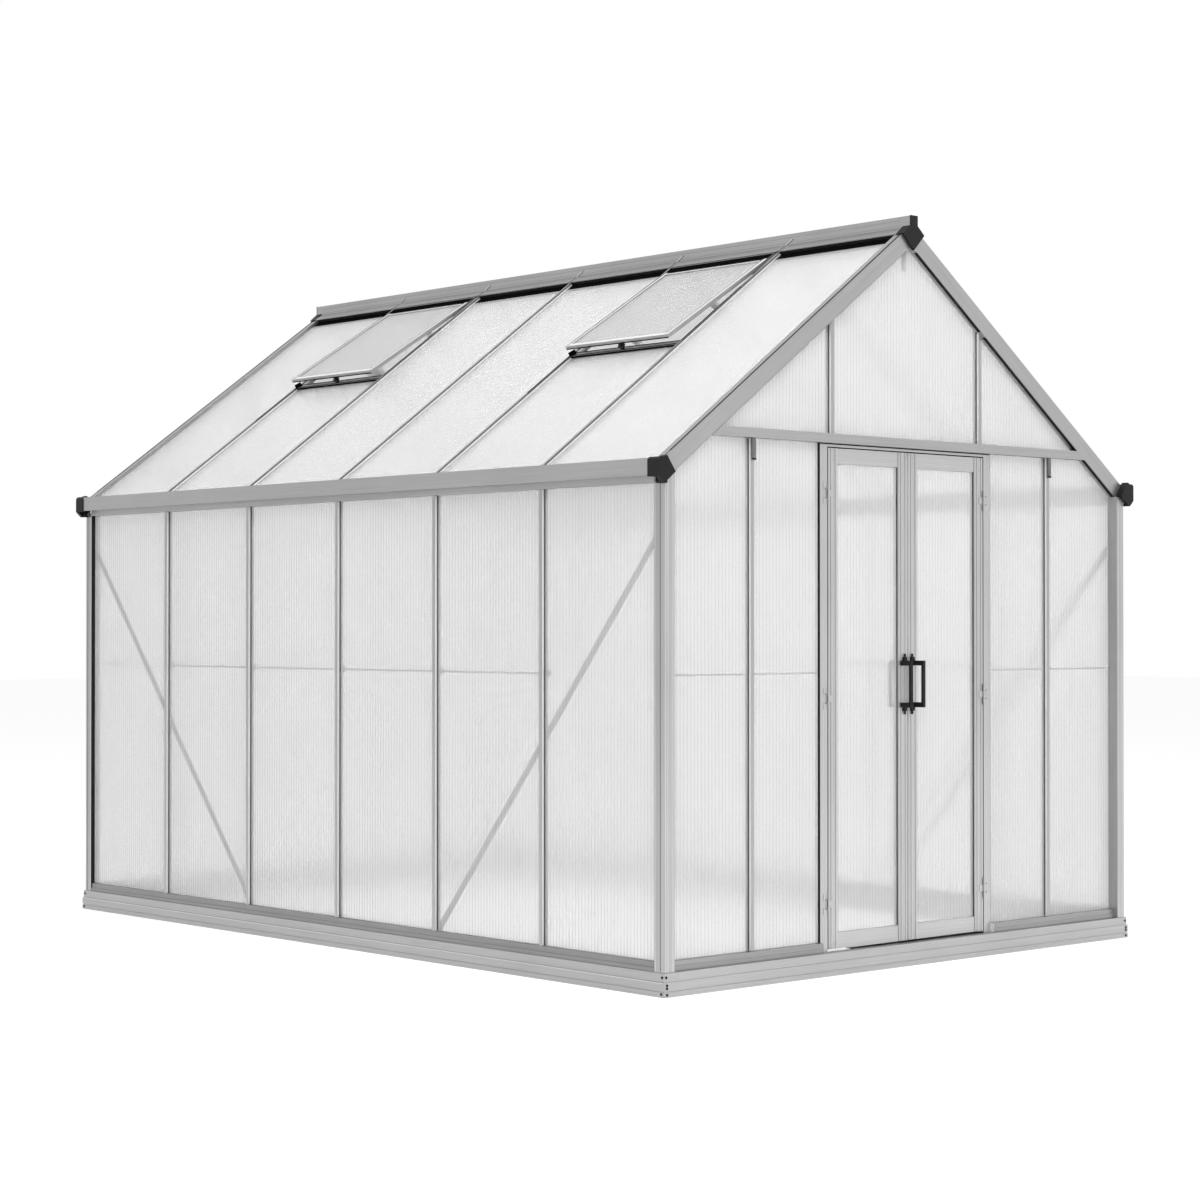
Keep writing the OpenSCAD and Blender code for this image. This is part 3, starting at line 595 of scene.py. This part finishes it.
doorLook = {
    "tall": 1.0, "shallow": 0.1, "flankSeal": 0.0022, "flankLip": (0.0028, 0.002), "sealInset": 0.001,
    "jambBeads": (0.12, 0.36, 0.60, 0.84), "stileBeads": (0.10, 0.34, 0.58, 0.82), "bead": (0.0034, 0.0010),
    "jambGap": 0.001, "stileGap": 0.002, "headShadow": (0.0036, 0.0012), "brush": 0.0022, "brushInset": 0.004,
    "threshold": ((-0.300, 0.0014), (0.425, 0.0030)), "thresholdDepth": 0.031,
    "paneSeal": (0.0036, 0.0016), "paneGap": 0.001, "meeting": (0.0100, 0.0005), "meetInset": 0.0010,
    "rivetAside": 0.0035, "rivetsUp": (0.018, 0.042), "rivetsDown": (0.018, 0.040), "rivetScale": 0.7,
}


# The upright members of the door frame or of a leaf
def stilesOf(name):
    return [solid for solid in solidsOf(name) if solid[1].z - solid[0].z > doorLook["tall"]]


# Seals beside the doorway and a brush under its head, painted shadow lines along the top of the head and
# under the leaves, and fine beads down its jambs
def trimDoorFrame():
    look, seals, beads = doorLook, Shape(), Shape()
    jambs = stilesOf("door_frame")
    solids = solidsOf("door_frame")
    headLow, headHigh = next(solid for solid in solids if solid[1].z - solid[0].z < look["shallow"])
    glass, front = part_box("gable_panels_front")[0].y, headLow.y
    inset, lip = look["sealInset"], look["flankLip"][0]
    for low, high in jambs:
        side, outerEdge = outerFace(low, high, 0)
        span = (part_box("sill_front")[1].z, high.z - look["jambGap"])
        flank = strip(glass - low.y - inset, look["flankSeal"])
        seals.upright(outerEdge, (glass + low.y) / 2, span, (side, 0, 0), flank)
        seals.upright(outerEdge + side * lip / 2, glass, span, (0, -1, 0), strip(*look["flankLip"]))
        for share in look["jambBeads"]:
            beads.upright(low.x + (high.x - low.x) * share, low.y, span, (0, -1, 0), bead(*look["bead"]))
    # A dark strip along the top of the head: painted shadow under the tie
    height = jambs[-1][1].z - look["headShadow"][0] / 2
    seals.run((jambs[0][0].x, front, height), (jambs[1][1].x, front, height), (0, -1, 0),
              strip(*look["headShadow"]))
    middle = (front + headHigh.y) / 2
    seals.run((headLow.x + inset, middle, headLow.z), (headHigh.x - inset, middle, headLow.z), (0, 0, -1),
              strip(headHigh.y - front - look["brushInset"], look["brush"]))
    thresholdShadow(seals, front)
    seals.release("door_frame_seals_and_painted_shadows", rubberAndShade, "black_seal")
    beads.release("jamb_beads", litDoorMetal, "aluminium_frame")


# A black strip on the base under the leaves, painted shadow in the gap below them, deeper towards the right
# jamb
def thresholdShadow(seals, front):
    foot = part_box("base_front")[1].z
    near, far = front + doorLook["sealInset"], front + doorLook["thresholdDepth"]
    seals.skin([
        [(x, near, foot - sunk), (x, near, foot + rise), (x, far, foot + rise), (x, far, foot - sunk)]
        for x, rise in doorLook["threshold"]
    ])


# Each leaf has seals round its pane, pale strips of painted light on its meeting edge, beads down its
# stiles and rivets at its corners
def trimLeaf(side):
    look, seals, linings, beads, rivets = doorLook, Shape(), Shape(), Shape(), Shape()
    paneLow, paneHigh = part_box(side + "_leaf_panel")
    stiles = stilesOf(side + "_leaf_frame")
    front, back = stiles[0][0].y, stiles[0][1].y
    gap, paneSpan = look["stileGap"], (paneLow.z + look["paneGap"], paneHigh.z - look["paneGap"])
    for face, glass in ((front, paneLow.y), (back, paneHigh.y)):
        middle = glass + math.copysign(look["paneSeal"][0] / 2, face - glass)
        for edge, out in ((paneLow.x, 1), (paneHigh.x, -1)):
            seals.upright(edge, middle, paneSpan, (out, 0, 0), strip(*look["paneSeal"]))
    inward, edge = (1, stiles[-1][1].x) if side == "left" else (-1, stiles[0][0].x)
    inset = look["meetInset"] + look["meeting"][0] / 2
    for middle in (front + inset, back - inset):
        linings.upright(edge, middle, (stiles[0][0].z + gap, stiles[0][1].z - gap), (inward, 0, 0),
                        strip(*look["meeting"]))
    for low, high in stiles:
        for share in look["stileBeads"]:
            beads.upright(low.x + (high.x - low.x) * share, front, (low.z + gap, high.z - gap), (0, -1, 0),
                          bead(*look["bead"]))
        x = (low.x + high.x) / 2 + look["rivetAside"]
        heights = [low.z + up for up in look["rivetsUp"]] + [high.z - down for down in look["rivetsDown"]]
        for height in heights:
            panHead(rivets, (x, front, height), (0, -1, 0), look["rivetScale"])
    body = side + "_door"
    linings.release(side + "_meeting_lining", paintedLightTrim, "aluminium_frame", body)
    seals.release(side + "_pane_seals", rubberAndShade, "black_seal", body)
    beads.release(side + "_stile_beads", litDoorMetal, "aluminium_frame", body)
    rivets.release(side + "_leaf_rivets", litDoorMetal, "aluminium_frame", body)


handleLook = {
    "barHalf": 0.006, "half": 0.0068, "depthHalf": 0.009, "ease": 0.002, "reach": 0.076, "endGap": 0.0005,
}


# Deep sleeves on the legs of the handles, outside and inside
def sleeveHandles(side):
    look = handleLook
    half, deep, ease = look["half"], look["depthHalf"], look["ease"]
    section = [(-half, ease - deep), (ease - half, -deep), (half - ease, -deep), (half, ease - deep),
               (half, deep - ease), (half - ease, deep), (ease - half, deep), (-half, deep - ease)]
    sleeves = Shape()
    for low, high in solidsOf(side + "_leaf_handles"):
        x = low.x + look["barHalf"] if side == "left" else high.x - look["barHalf"]
        near, far = low.y + look["endGap"], high.y - look["endGap"]
        for end in (-1.0, 1.0):
            z = (low.z + high.z) / 2 + end * look["reach"]
            sleeves.run((x, near, z), (x, far, z), (0, 0, 1), section)
    sleeves.release(side + "_handle_sleeves", plastic, "black_plastic", side + "_door")


sleeveHandles("left")
sleeveHandles("right")
trimDoorFrame()
trimLeaf("left")
trimLeaf("right")
print("door seals, beads and rivets")


rafterLook = {
    "seal": (0.0150, 0.0014), "sealBack": 0.00105, "line": (0.0070, 0.0008), "lineBack": 0.0035,
    "sealStart": 0.030, "lineStart": 0.055, "endGap": 0.045,
    "upperFrom": 1.5, "beforeMullion": 0.026, "afterMullion": 0.002,
}


# Seals under the rafters, and a dark line of painted shade along each rafter's upper edge, where its top
# face steps down
def sealAndShadeRafters():
    look, seals = rafterLook, Shape()
    mullions = [solid for solid in solidsOf("gable_mullions_front") if solid[0].z > look["upperFrom"]]
    mullion = max(high.x for low, high in mullions)
    for name in ("gable_rafters_front", "gable_rafters_back"):
        low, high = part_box(name)
        end, face = outerFace(low, high, 1)
        heights = [toSlope(vertex.co)[2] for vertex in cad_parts[name].data.vertices]
        under, over = min(heights), max(heights)
        lower = face - end * (look["sealBack"] + look["seal"][0] / 2)
        upper = face - end * (look["lineBack"] + look["line"][0] / 2)
        reach = high.x - look["endGap"]
        spans = ((look["sealStart"], mullion - look["beforeMullion"]),
                 (mullion + look["afterMullion"], reach))
        for side in (-1.0, 1.0):
            def onLine(height, x, y):
                return (side * x, y, (height - x * slopeSin) / slopeCos)
            for first, last in spans:
                seals.run(onLine(under, first, lower), onLine(under, last, lower), -slopeOut(side),
                          strip(*look["seal"]))
            # The dark line on the upper edge: painted shade
            seals.run(onLine(over, look["lineStart"], upper), onLine(over, reach, upper), slopeOut(side),
                      strip(*look["line"]))
    seals.release("rafter_seals_and_painted_shade", rubberAndShade, "black_seal")


sealAndShadeRafters()


# Beads, lines and faces are given by their distance from the post's outer corner
postLook = {
    "frontBeads": ((0.0070, 0.0036, 0.0014), (0.0270, 0.0018, 0.0006), (0.0420, 0.0018, 0.0006)),
    "sideBeads": ((0.0110, 0.0018, 0.0006), (0.0440, 0.0030, 0.0010)),
    "sideLines": (0.0165, 0.0195), "frontLine": 0.0345, "line": (0.0012, 0.0003),
    "frontFaces": (0.0170, 0.0385), "face": (0.0115, 0.0004), "endGap": 0.002,
    "seal": 0.0016, "sealInset": 0.001, "plateRise": 0.0004, "plateGap": 0.0005,
    "baseLine": 0.0478, "baseBead": (0.0034, 0.0014), "baseGap": 0.004,
}


# Fine beads in a painted highlight colour, dark lines of painted groove shade and pale faces of painted
# light on the posts, seals beside them, pale plates of painted light on the ends of the front sills, and a
# bright bead of painted highlight along each side base
def trimPosts():
    look, beads, lines, plates, faces, seals = postLook, Shape(), Shape(), Shape(), Shape(), Shape()
    glass = abs(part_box("wall_panels_left")[0].x)
    for low, high in solidsOf("corner_posts"):
        outX, x = outerFace(low, high, 0)
        outY, y = outerFace(low, high, 1)
        span = (low.z + look["endGap"], high.z - look["endGap"])
        # Beads in the near-white colour: painted highlight
        for step, width, rise in look["frontBeads"]:
            beads.upright(x - outX * step, y, span, (0, outY, 0), bead(width, rise))
        for step, width, rise in look["sideBeads"]:
            beads.upright(x, y - outY * step, span, (outX, 0, 0), bead(width, rise))
        for step in look["sideLines"]:
            lines.upright(x, y - outY * step, span, (outX, 0, 0), strip(*look["line"]))
        lines.upright(x - outX * look["frontLine"], y, span, (0, outY, 0), strip(*look["line"]))
        for step in look["frontFaces"]:
            faces.upright(x - outX * step, y, span, (0, outY, 0), strip(*look["face"]))
        seals.upright((abs(x) + glass) / 2 * outX, high.y if outY < 0 else low.y, span, (0, -outY, 0),
                      strip(abs(x) - glass - look["sealInset"], look["seal"]))
    gap = look["plateGap"]
    # Pale plates on the ends of the front sills: painted light
    for low, high in solidsOf("sill_front"):
        side = math.copysign(1.0, low.x)
        plates.upright(low.x if side > 0 else high.x, (low.y + high.y) / 2, (low.z + gap, high.z - gap),
                       (-side, 0, 0), strip(high.y - low.y - 2 * gap, look["plateRise"]))
    # A bright bead along each side base: painted highlight
    for name in ("base_left", "base_right"):
        low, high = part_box(name)
        outX, x = outerFace(low, high, 0)
        first, last = low.y + look["baseGap"], high.y - look["baseGap"]
        beads.run((x, first, look["baseLine"]), (x, last, look["baseLine"]), (outX, 0, 0),
                  bead(*look["baseBead"]))
    beads.release("post_beads_painted_highlight", highlightMetal, "aluminium_frame")
    faces.release("post_faces_painted_light", litDoorMetal, "aluminium_frame")
    lines.release("post_lines_painted_shade", greyRubberAndShade, "black_seal")
    seals.release("post_seals", rubberAndShade, "black_seal")
    plates.release("sill_ends_painted_light", paintedLightTrim, "aluminium_frame")


trimPosts()


# A clip's line and face are given by the distance from the clip's edge and the width
ridgeLook = {
    "flap": 0.032, "under": 0.044, "rise": 0.0016, "overlap": 0.004, "topGap": 0.0022, "underGap": 0.0105,
    "endGap": 0.001, "endZone": 0.02, "boxHalf": 0.020,
    "clipLine": (0.0020, 0.0036), "clipFace": (0.0065, 0.0050), "clipRise": 0.0005,
    "clipTop": 0.003, "clipFoot": 0.001, "hookEdge": 0.001, "hookStep": 0.005,
    "hookRun": (0, -0.036, 0.022), "hook": (0.0032, 0.0010),
    "grooves": (2.6865, 2.7050), "grooveEnd": 0.045, "groove": (0.0016, 0.0004),
}


# Black flaps seal the top of each roof panel under the edge of the ridge beam
def addFlaps(flaps):
    look = ridgeLook
    lap, endGap = look["overlap"], look["endGap"]
    edge = max(high.x for low, high in solidsOf("ridge_clips", True))
    for side, end in slopes:
        roofEnd = abs(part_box("roof_panels_" + end)[0].y) - look["endZone"]
        for low, high in solidsOf("roof_panels_" + end, True):
            if low.x > edge:
                continue  # a bay with a vent
            for down, height, gap, turn in ((look["flap"], high.z, look["topGap"], 1),
                                            (look["under"], low.z, look["underGap"], -1)):
                first = low.y + (endGap if abs(low.y + gap) > roofEnd else gap)
                last = high.y - (endGap if abs(high.y - gap) > roofEnd else gap)
                flaps.alongSlope(side, edge + (down - lap) / 2, (first, last), height,
                                 strip(down + lap, look["rise"]), slopeOut(side) * turn)


# Dark lines of painted shade and pale lines of painted highlight over each ridge clip, with the wire that
# hooks over the beam drawn the same way
def lineClips(lines, pale):
    look, hookEdge = ridgeLook, ridgeLook["hookEdge"]
    (lineEdge, lineWidth), (faceEdge, faceWidth) = look["clipLine"], look["clipFace"]
    for low, high in solidsOf("ridge_clips"):
        side = math.copysign(1, low.x + high.x)
        inner, outer = (high.x, low.x) if side < 0 else (low.x, high.x)
        top, foot = toSlope((inner, 0, high.z)), toSlope((outer, 0, low.z))
        downs = (top[0] + look["clipTop"], foot[0] - look["clipFoot"])
        for along, shape, width in (
            (low.y + lineEdge, lines, lineWidth), (low.y + faceEdge, pale, faceWidth),
            (high.y - lineEdge, lines, lineWidth),
        ):
            shape.downSlope(side, downs, along, top[2], strip(width, look["clipRise"]))
        for step, shape in ((0.0, lines), (look["hookStep"], pale)):
            start = Vector((side * look["boxHalf"], low.y - hookEdge + step, high.z + hookEdge))
            shape.run(start, start + Vector(look["hookRun"]), (side, 0, 0), strip(*look["hook"]))


def sealRidge():
    flaps, lines, pale, grooves = Shape(), Shape(), Shape(), Shape()
    addFlaps(flaps)
    lineClips(lines, pale)
    beamLow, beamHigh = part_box("ridge_beam")
    first, last = beamLow.y + ridgeLook["grooveEnd"], beamHigh.y - ridgeLook["grooveEnd"]
    # Steel-grey strips along the beam's grooves: painted groove shade
    for side in (-1, 1):
        x = side * ridgeLook["boxHalf"]
        for height in ridgeLook["grooves"]:
            grooves.run((x, first, height), (x, last, height), (side, 0, 0), strip(*ridgeLook["groove"]))
    flaps.release("ridge_flaps", deepRubberAndShade, "black_seal")
    lines.release("clip_lines_painted_shade", rubberAndShade, "black_seal")
    pale.release("clip_faces_painted_highlight", paintedLightTrim, "aluminium_frame")
    grooves.release("ridge_grooves_painted_shade", steelAndGrooveShade, "aluminium_frame")


sealRidge()


ventLook = {
    "railFrom": 0.1, "cornerBack": 0.014, "edgeGap": 0.001, "flap": (0.042, 0.0008), "flapFoot": 0.0260,
    "topBead": 0.040, "topPale": 0.0435, "topEnd": 0.024, "topSection": (0.0030, 0.0030),
    "leftLine": (0.0035, 0.0008), "leftStart": 0.030, "paleStart": 0.004,
    "leftPale": (0.009, 0.0006), "leftIn": 0.013, "rightPale": (0.0100, 0.0006), "rightIn": 0.0075,
    "lowPale": (0.0150, 0.0006), "lowUp": 0.0105, "lowEnds": (0.014, 0.006),
    "lowLine": (0.0045, 0.0006), "lowDrop": -0.0115,
    "barEdge": (0.0055, 0.0008), "shadeAt": 0.45, "shadeShare": 0.6, "shadeRise": 0.0008, "beside": 0.02,
    "farLine": (0.0045, 0.0010), "farReach": 0.26, "farAside": 0.0025,
    "nearLine": (0.0034, 0.0010), "nearReach": 0.38,
    "hook": (0.008, 0.016), "hookTop": 0.030, "hookFoot": 0.004, "hookEnds": (-0.006, 0.008),
}
downhill = fromSlope(-1, 1, 0, 0) - fromSlope(-1, 0, 0, 0)


# Dark strips, partly seals and partly painted shade, and pale edges of painted highlight on one vent's own
# frame, given its upper and lower rails
def trimVentFrame(seals, linings, top, bottom):
    look = ventLook
    drop, reach = bottom[1].z - top[1].z, bottom[1].x - top[1].x
    tilt, length = math.atan2(drop, reach), math.hypot(reach, drop)
    fall = look["cornerBack"] * math.sin(tilt)  # a rail's lower outer corner is this far inside its box
    out = slopeOut(-1) * math.cos(tilt) - downhill * math.sin(tilt)
    left, right, gap = top[1].y, top[0].y, look["edgeGap"]

    def onVent(up, along, rise=0.0):  # up the vent's face from the lower outer edge
        down = bottom[1].x - fall - up * math.cos(tilt)
        return fromSlope(-1, down, along, bottom[1].z - up * math.sin(tilt)) + out * rise

    def lay(shape, start, end, section, face=out):
        shape.run(onVent(*start), onVent(*end), face, strip(*section))

    for step, shape in ((look["topBead"], seals), (look["topPale"], linings)):
        lay(shape, (length - step, right + look["topEnd"]), (length - step, left - look["topEnd"]),
            look["topSection"])
    upper = length - look["flapFoot"] + look["flap"][0] / 2
    lay(seals, (upper, right + gap), (upper, left - gap), look["flap"])
    line = left - look["leftLine"][0]
    lay(seals, (look["leftStart"], line), (length, line), look["leftLine"])
    for along, section in ((left - look["leftIn"], look["leftPale"]),
                           (right + look["rightIn"], look["rightPale"])):
        lay(linings, (look["paleStart"], along), (length, along), section)
    up, (first, last), fallen = look["lowUp"], look["lowEnds"], look["lowDrop"]
    lay(linings, (up, right + first), (up, left - last), look["lowPale"])
    lay(seals, (0.0, right + gap, fallen), (0.0, left - gap, fallen), look["lowLine"], downhill)


# Dark lines of painted shade on the edges of the cross bar under a vent and on the roof bars beside it
def trimVentSeat(seals, low, high, bottom, left):
    look = ventLook
    alongs = (low.y + look["edgeGap"], high.y - look["edgeGap"])
    for down in (low.x + look["barEdge"][0] / 2, high.x - look["barEdge"][0] / 2):
        seals.alongSlope(-1, down, alongs, high.z, strip(*look["barEdge"]))
    tall = high.z - low.z
    seals.alongSlope(-1, high.x, alongs, high.z - tall * look["shadeAt"],
                     strip(tall * look["shadeShare"], look["shadeRise"]), downhill)

    def barBeside(along):
        bars = [((bar[0].y + bar[1].y) / 2, bar[1].z) for bar in solidsOf("roof_bars_left", True)]
        return next(bar for bar in bars if abs(bar[0] - along) < look["beside"])

    middle, height = barBeside(high.y)
    seals.downSlope(-1, (high.x, high.x + look["farReach"]), middle - look["farAside"], height,
                    strip(*look["farLine"]))
    middle, height = barBeside(low.y)
    seals.downSlope(-1, (low.x - look["nearReach"], low.x), middle, height, strip(*look["nearLine"]))
    first, last = look["hookEnds"]
    seals.run(fromSlope(-1, bottom[1].x - look["hookTop"], left + first, high.z),
              fromSlope(-1, high.x + look["hookFoot"], left + last, high.z), slopeOut(-1),
              strip(*look["hook"]))


# The roof vents stand a little open
def trimVents():
    seals, linings = Shape(), Shape()
    crossbars = solidsOf("vent_crossbars", True)

    def nearest(part):
        return min(crossbars, key=lambda bar: abs(bar[0].y + bar[1].y - part[0].y - part[1].y))

    for bar in crossbars:
        parts = [part for part in solidsOf("vent_frames", True) if nearest(part) is bar]
        rails = [part for part in parts if part[1].y - part[0].y > ventLook["railFrom"]]
        top, bottom = sorted(rails, key=lambda part: part[0].x)
        trimVentFrame(seals, linings, top, bottom)
        trimVentSeat(seals, *bar, bottom, top[1].y)
    seals.release("vent_seals_and_painted_shade", deepRubberAndShade, "black_seal")
    linings.release("vent_painted_highlights", paintedLightTrim, "aluminium_frame")


trimVents()


ribLook = {"section": (0.0028, 0.0003), "inset": 0.003, "footGap": 0.001, "topGap": 0.005, "shortest": 0.02}
gableCorners = [vertex.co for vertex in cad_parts["gable_panels_front"].data.vertices]
gableRise = max(toSlope(corner)[2] for corner in gableCorners)


# Places of the webs between two edges, on the same grid as the sheet's material
def ribPlaces(first, last):
    pitch = sheetLook["pitch"]
    place = math.ceil((first + ribLook["inset"]) / pitch) * pitch
    while place < last - ribLook["inset"]:
        yield place
        place += pitch


# Height of the upper edge of the gable sheets at a distance from the middle
def roofUnder(x):
    return (gableRise - abs(x) * slopeSin) / slopeCos


# The webs between the two skins of every sheet, as fine raised lines on its outer skin
def ribSheets():
    look, section = ribLook, strip(*ribLook["section"])
    for name, across, *body in (
        ("wall_panels_left", 1), ("wall_panels_right", 1),
        ("gable_panels_front", 0), ("gable_panels_back", 0),
        ("left_leaf_panel", 0, "left_door"), ("right_leaf_panel", 0, "right_door"),
    ):
        shape = Shape()
        away = 1 - across
        for low, high in solidsOf(name):
            outward, face = outerFace(low, high, away)
            for place in ribPlaces(low[across], high[across]):
                top = min(high.z, roofUnder(place)) if name.startswith("gable") else high.z
                foot = Vector((0, 0, low.z + look["footGap"]))
                foot[across], foot[away] = place, face
                end = foot.copy()
                end.z = top - look["topGap"]
                if end.z - foot.z > look["shortest"]:
                    shape.run(foot, end, unit(away, outward), section)
        shape.release(name + "_webs", web, "clear_sheet", *body)
    for side, end in slopes:
        shape = Shape()
        for low, high in solidsOf("roof_panels_" + end, True):
            downs = (low.x + look["footGap"], high.x - look["footGap"])
            for place in ribPlaces(low.y, high.y):
                shape.downSlope(side, downs, place, high.z, section)
        shape.release("roof_panels_" + end + "_webs", litRoofWeb, "clear_sheet")


tapeLook = {"rise": 0.0008}


# Dark foam tape lies on the faces of the braces and inner rails that meet the sheets
def tapeInside():
    tape = Shape()
    for name, axis in (("wall_braces", 0), ("mid_rails_side", 0), ("mid_rails_gable", 1)):
        across = 1 - axis
        for corners in cornersOf(name):
            outward = math.copysign(1, corners[0][axis])
            face = max(corner[axis] * outward for corner in corners)
            flat = [Vector(corner) for corner in corners if corner[axis] * outward > face - sunk]
            centre = sum(flat, Vector()) / len(flat)
            flat.sort(key=lambda spot: math.atan2(spot.z - centre.z, spot[across] - centre[across]))
            out = unit(axis, outward)
            tape.skin([[spot + out * rise for spot in flat] for rise in (-sunk, tapeLook["rise"])])
    tape.release("inner_tape", deepRubberAndShade, "black_seal")


tapeInside()
ribSheets()
print("webs in the sheets")


# A base screw is given by its height, and by how far the base stands back there
fixingLook = {
    "gablePlugs": ((0.066, 0.004), (0.040, 0), (0.030, 0), (0.009, 0)), "gablePlugIn": 0.013,
    "sidePlugs": ((0.066, 0.004), (0.011, 0)), "sidePlugIn": 0.014, "plugScale": 1.15,
    "lowHangers": 2.0, "hangerScrew": 0.011, "hangerScale": 1.2,
    "hangerClip": 0.0035, "hangerClipHalf": 0.0085, "hangerSection": (0.006, 0.0025),
    "hingePlate": 0.0022, "hingeScrewIn": 0.011, "hingeScrews": (0.28, 0.72), "hingeScale": 0.75,
    "upperFrom": 1.5, "railAside": 0.021, "railClipHalf": 0.0075, "railClip": (0.024, 0.0012),
    "nutBack": 0.0070,
}


# Screws in the base, the hanger brackets and the hinge plates
def screwFrame(screws, clips, plugs):
    look, (low, high) = fixingLook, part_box("base_front")
    for outX, outY in ((-1, -1), (1, -1), (-1, 1), (1, 1)):
        x, y = outX * abs(low.x), outY * abs(low.y)
        for height, back in look["gablePlugs"]:
            place = (x - outX * look["gablePlugIn"], y - outY * back, height)
            panHead(plugs, place, (0, outY, 0), look["plugScale"])
        for height, back in look["sidePlugs"]:
            place = (x - outX * back, y - outY * look["sidePlugIn"], height)
            panHead(plugs, place, (outX, 0, 0), look["plugScale"])
    for low, high in solidsOf("hanger_brackets"):
        if low.z > look["lowHangers"]:
            continue
        outY, face = outerFace(low, high, 1)
        middle, half, height = (low.x + high.x) / 2, look["hangerClipHalf"], low.z + look["hangerClip"]
        panHead(screws, (middle, face, low.z + look["hangerScrew"]), (0, outY, 0), look["hangerScale"])
        clips.run((middle - half, face, height), (middle + half, face, height), (0, outY, 0),
                  strip(*look["hangerSection"]))
    for low, high in solidsOf("frame_hinges"):
        x = high.x - look["hingeScrewIn"] if low.x > 0 else low.x + look["hingeScrewIn"]
        for share in look["hingeScrews"]:
            place = (x, high.y - look["hingePlate"], low.z + (high.z - low.z) * share)
            panHead(screws, place, (0, -1, 0), look["hingeScale"])


# Nuts beside every bar that an inner rail crosses, with clips on the side walls
def fixRails(nuts, clips):
    look = fixingLook
    half = Vector((0, look["railClipHalf"], 0))
    for name, axis, barName in (("mid_rails_side", 0, "wall_bars_left"),
                                ("mid_rails_gable", 1, "gable_mullions_front")):
        across = 1 - axis
        for low, high in solidsOf(name):
            outward, face = outerFace(low, high, axis)
            out = unit(axis, outward)
            for barLow, barHigh in solidsOf(barName):
                middle = (barLow[across] + barHigh[across]) / 2
                if barLow.z > look["upperFrom"] or not low[across] < middle < high[across]:
                    continue
                for side in (-1, 1):
                    place = Vector((face, face, (low.z + high.z) / 2))
                    place[across] = middle + side * look["railAside"]
                    if axis == 0:
                        clips.run(place - half, place + half, out, strip(*look["railClip"]))
                    hexNut(nuts, place - out * look["nutBack"], -out)


def addFixings():
    screws, nuts, clips, plugs = Shape(), Shape(), Shape(), Shape()
    screwFrame(screws, clips, plugs)
    fixRails(nuts, clips)
    screws.release("frame_screws", steelAndGrooveShade, "aluminium_frame")
    nuts.release("frame_nuts", steelAndGrooveShade, "aluminium_frame")
    plugs.release("base_screws", blackSteel, "aluminium_frame")
    clips.release("frame_clips", plastic, "black_plastic")


addFixings()
print("seals, beads, screws and clips")


stageLook = {
    "floor": 90.0, "floorGrey": 0.80, "floorGlow": 0.36, "fill": 0.75,
    "floorRough": 0.9, "mirror": 0.93, "mirrorX": 0.067, "mirrorY": 0.074,
}


# Rays that look at the stage: from the camera, reflected, or through a sheet
def rayKinds(board):
    fromCamera = board.add("LightPath")
    reflected = board.other(fromCamera, "Is Glossy Ray")
    through = board.other(fromCamera, "Is Transmission Ray")
    return fromCamera, reflected, through


def makeFloor():
    bpy.ops.mesh.primitive_plane_add(size=stageLook["floor"])
    floor = bpy.context.object
    floor.name = "floor"
    material, board = newBoard("studioFloor")
    fromCamera, reflected, through = rayKinds(board)
    board.finish({
        "Base Color": grey(stageLook["floorGrey"]),
        "Roughness": stageLook["floorRough"],
        "Specular IOR Level": 0.0,
        "Emission Color": grey(1),
        "Emission Strength": fromCamera.largest(reflected).largest(through) * stageLook["floorGlow"],
    })
    floor.data.materials.append(material)


def makeWorld():
    world = bpy.data.worlds.new("studio")
    bpy.context.scene.world = world
    world.use_nodes = True
    board = Board(world.node_tree)
    fromCamera, reflected, through = rayKinds(board)
    shown = fromCamera.largest(through)
    x, y, z = board.parts(board.add("TexCoord", out=0))
    # A softer wall on the far left, for the metal to mirror
    studio = stageLook["mirror"] + (x * stageLook["mirrorX"] - y * stageLook["mirrorY"])
    strength = shown + (1.0 - shown) * (reflected * studio + (1.0 - reflected) * stageLook["fill"])
    sky = board.add("Background", {}, {"Color": grey(1), "Strength": strength})
    board.add("OutputWorld", {}, {"Surface": sky})


lamps = {
    "keyLamp": {"place": (-5.0, -6.5, 7.0), "size": 6.0, "power": 420.0},
    "topLamp": {"place": (-1.0, 0.0, 9.0), "size": 7.0, "power": 215.0},
    "frontLamp": {"place": (7.0, -7.0, 3.0), "size": 4.5, "power": 70.0},
}


def makeLamps():
    middle = (cadLow + cadHigh) / 2
    for name, lamp in lamps.items():
        light = bpy.data.lights.new(name, "AREA")
        light.shape = "SQUARE"
        light.size = lamp["size"]
        light.energy = lamp["power"]
        holder = bpy.data.objects.new(name, light)
        bpy.context.scene.collection.objects.link(holder)
        holder.location = lamp["place"]
        holder.visible_glossy = False
        toward = middle - Vector(lamp["place"])
        holder.rotation_euler = toward.to_track_quat("-Z", "Y").to_euler()


cameraLook = {
    "place": (-7.168, -8.081, 1.229), "turn": (90.571, 0.0, -42.019), "lens": 78.0, "sensor": 36.0,
}


def makeCamera():
    camera = bpy.data.cameras.new("camera")
    camera.sensor_width = cameraLook["sensor"]
    camera.lens = cameraLook["lens"]
    holder = bpy.data.objects.new("camera", camera)
    bpy.context.scene.collection.objects.link(holder)
    holder.location = cameraLook["place"]
    holder.rotation_euler = [math.radians(angle) for angle in cameraLook["turn"]]
    bpy.context.scene.camera = holder


makeFloor()
makeWorld()
makeLamps()
makeCamera()
bpy.context.scene.view_settings.view_transform = "Standard"
print("stage, lamps and camera set")
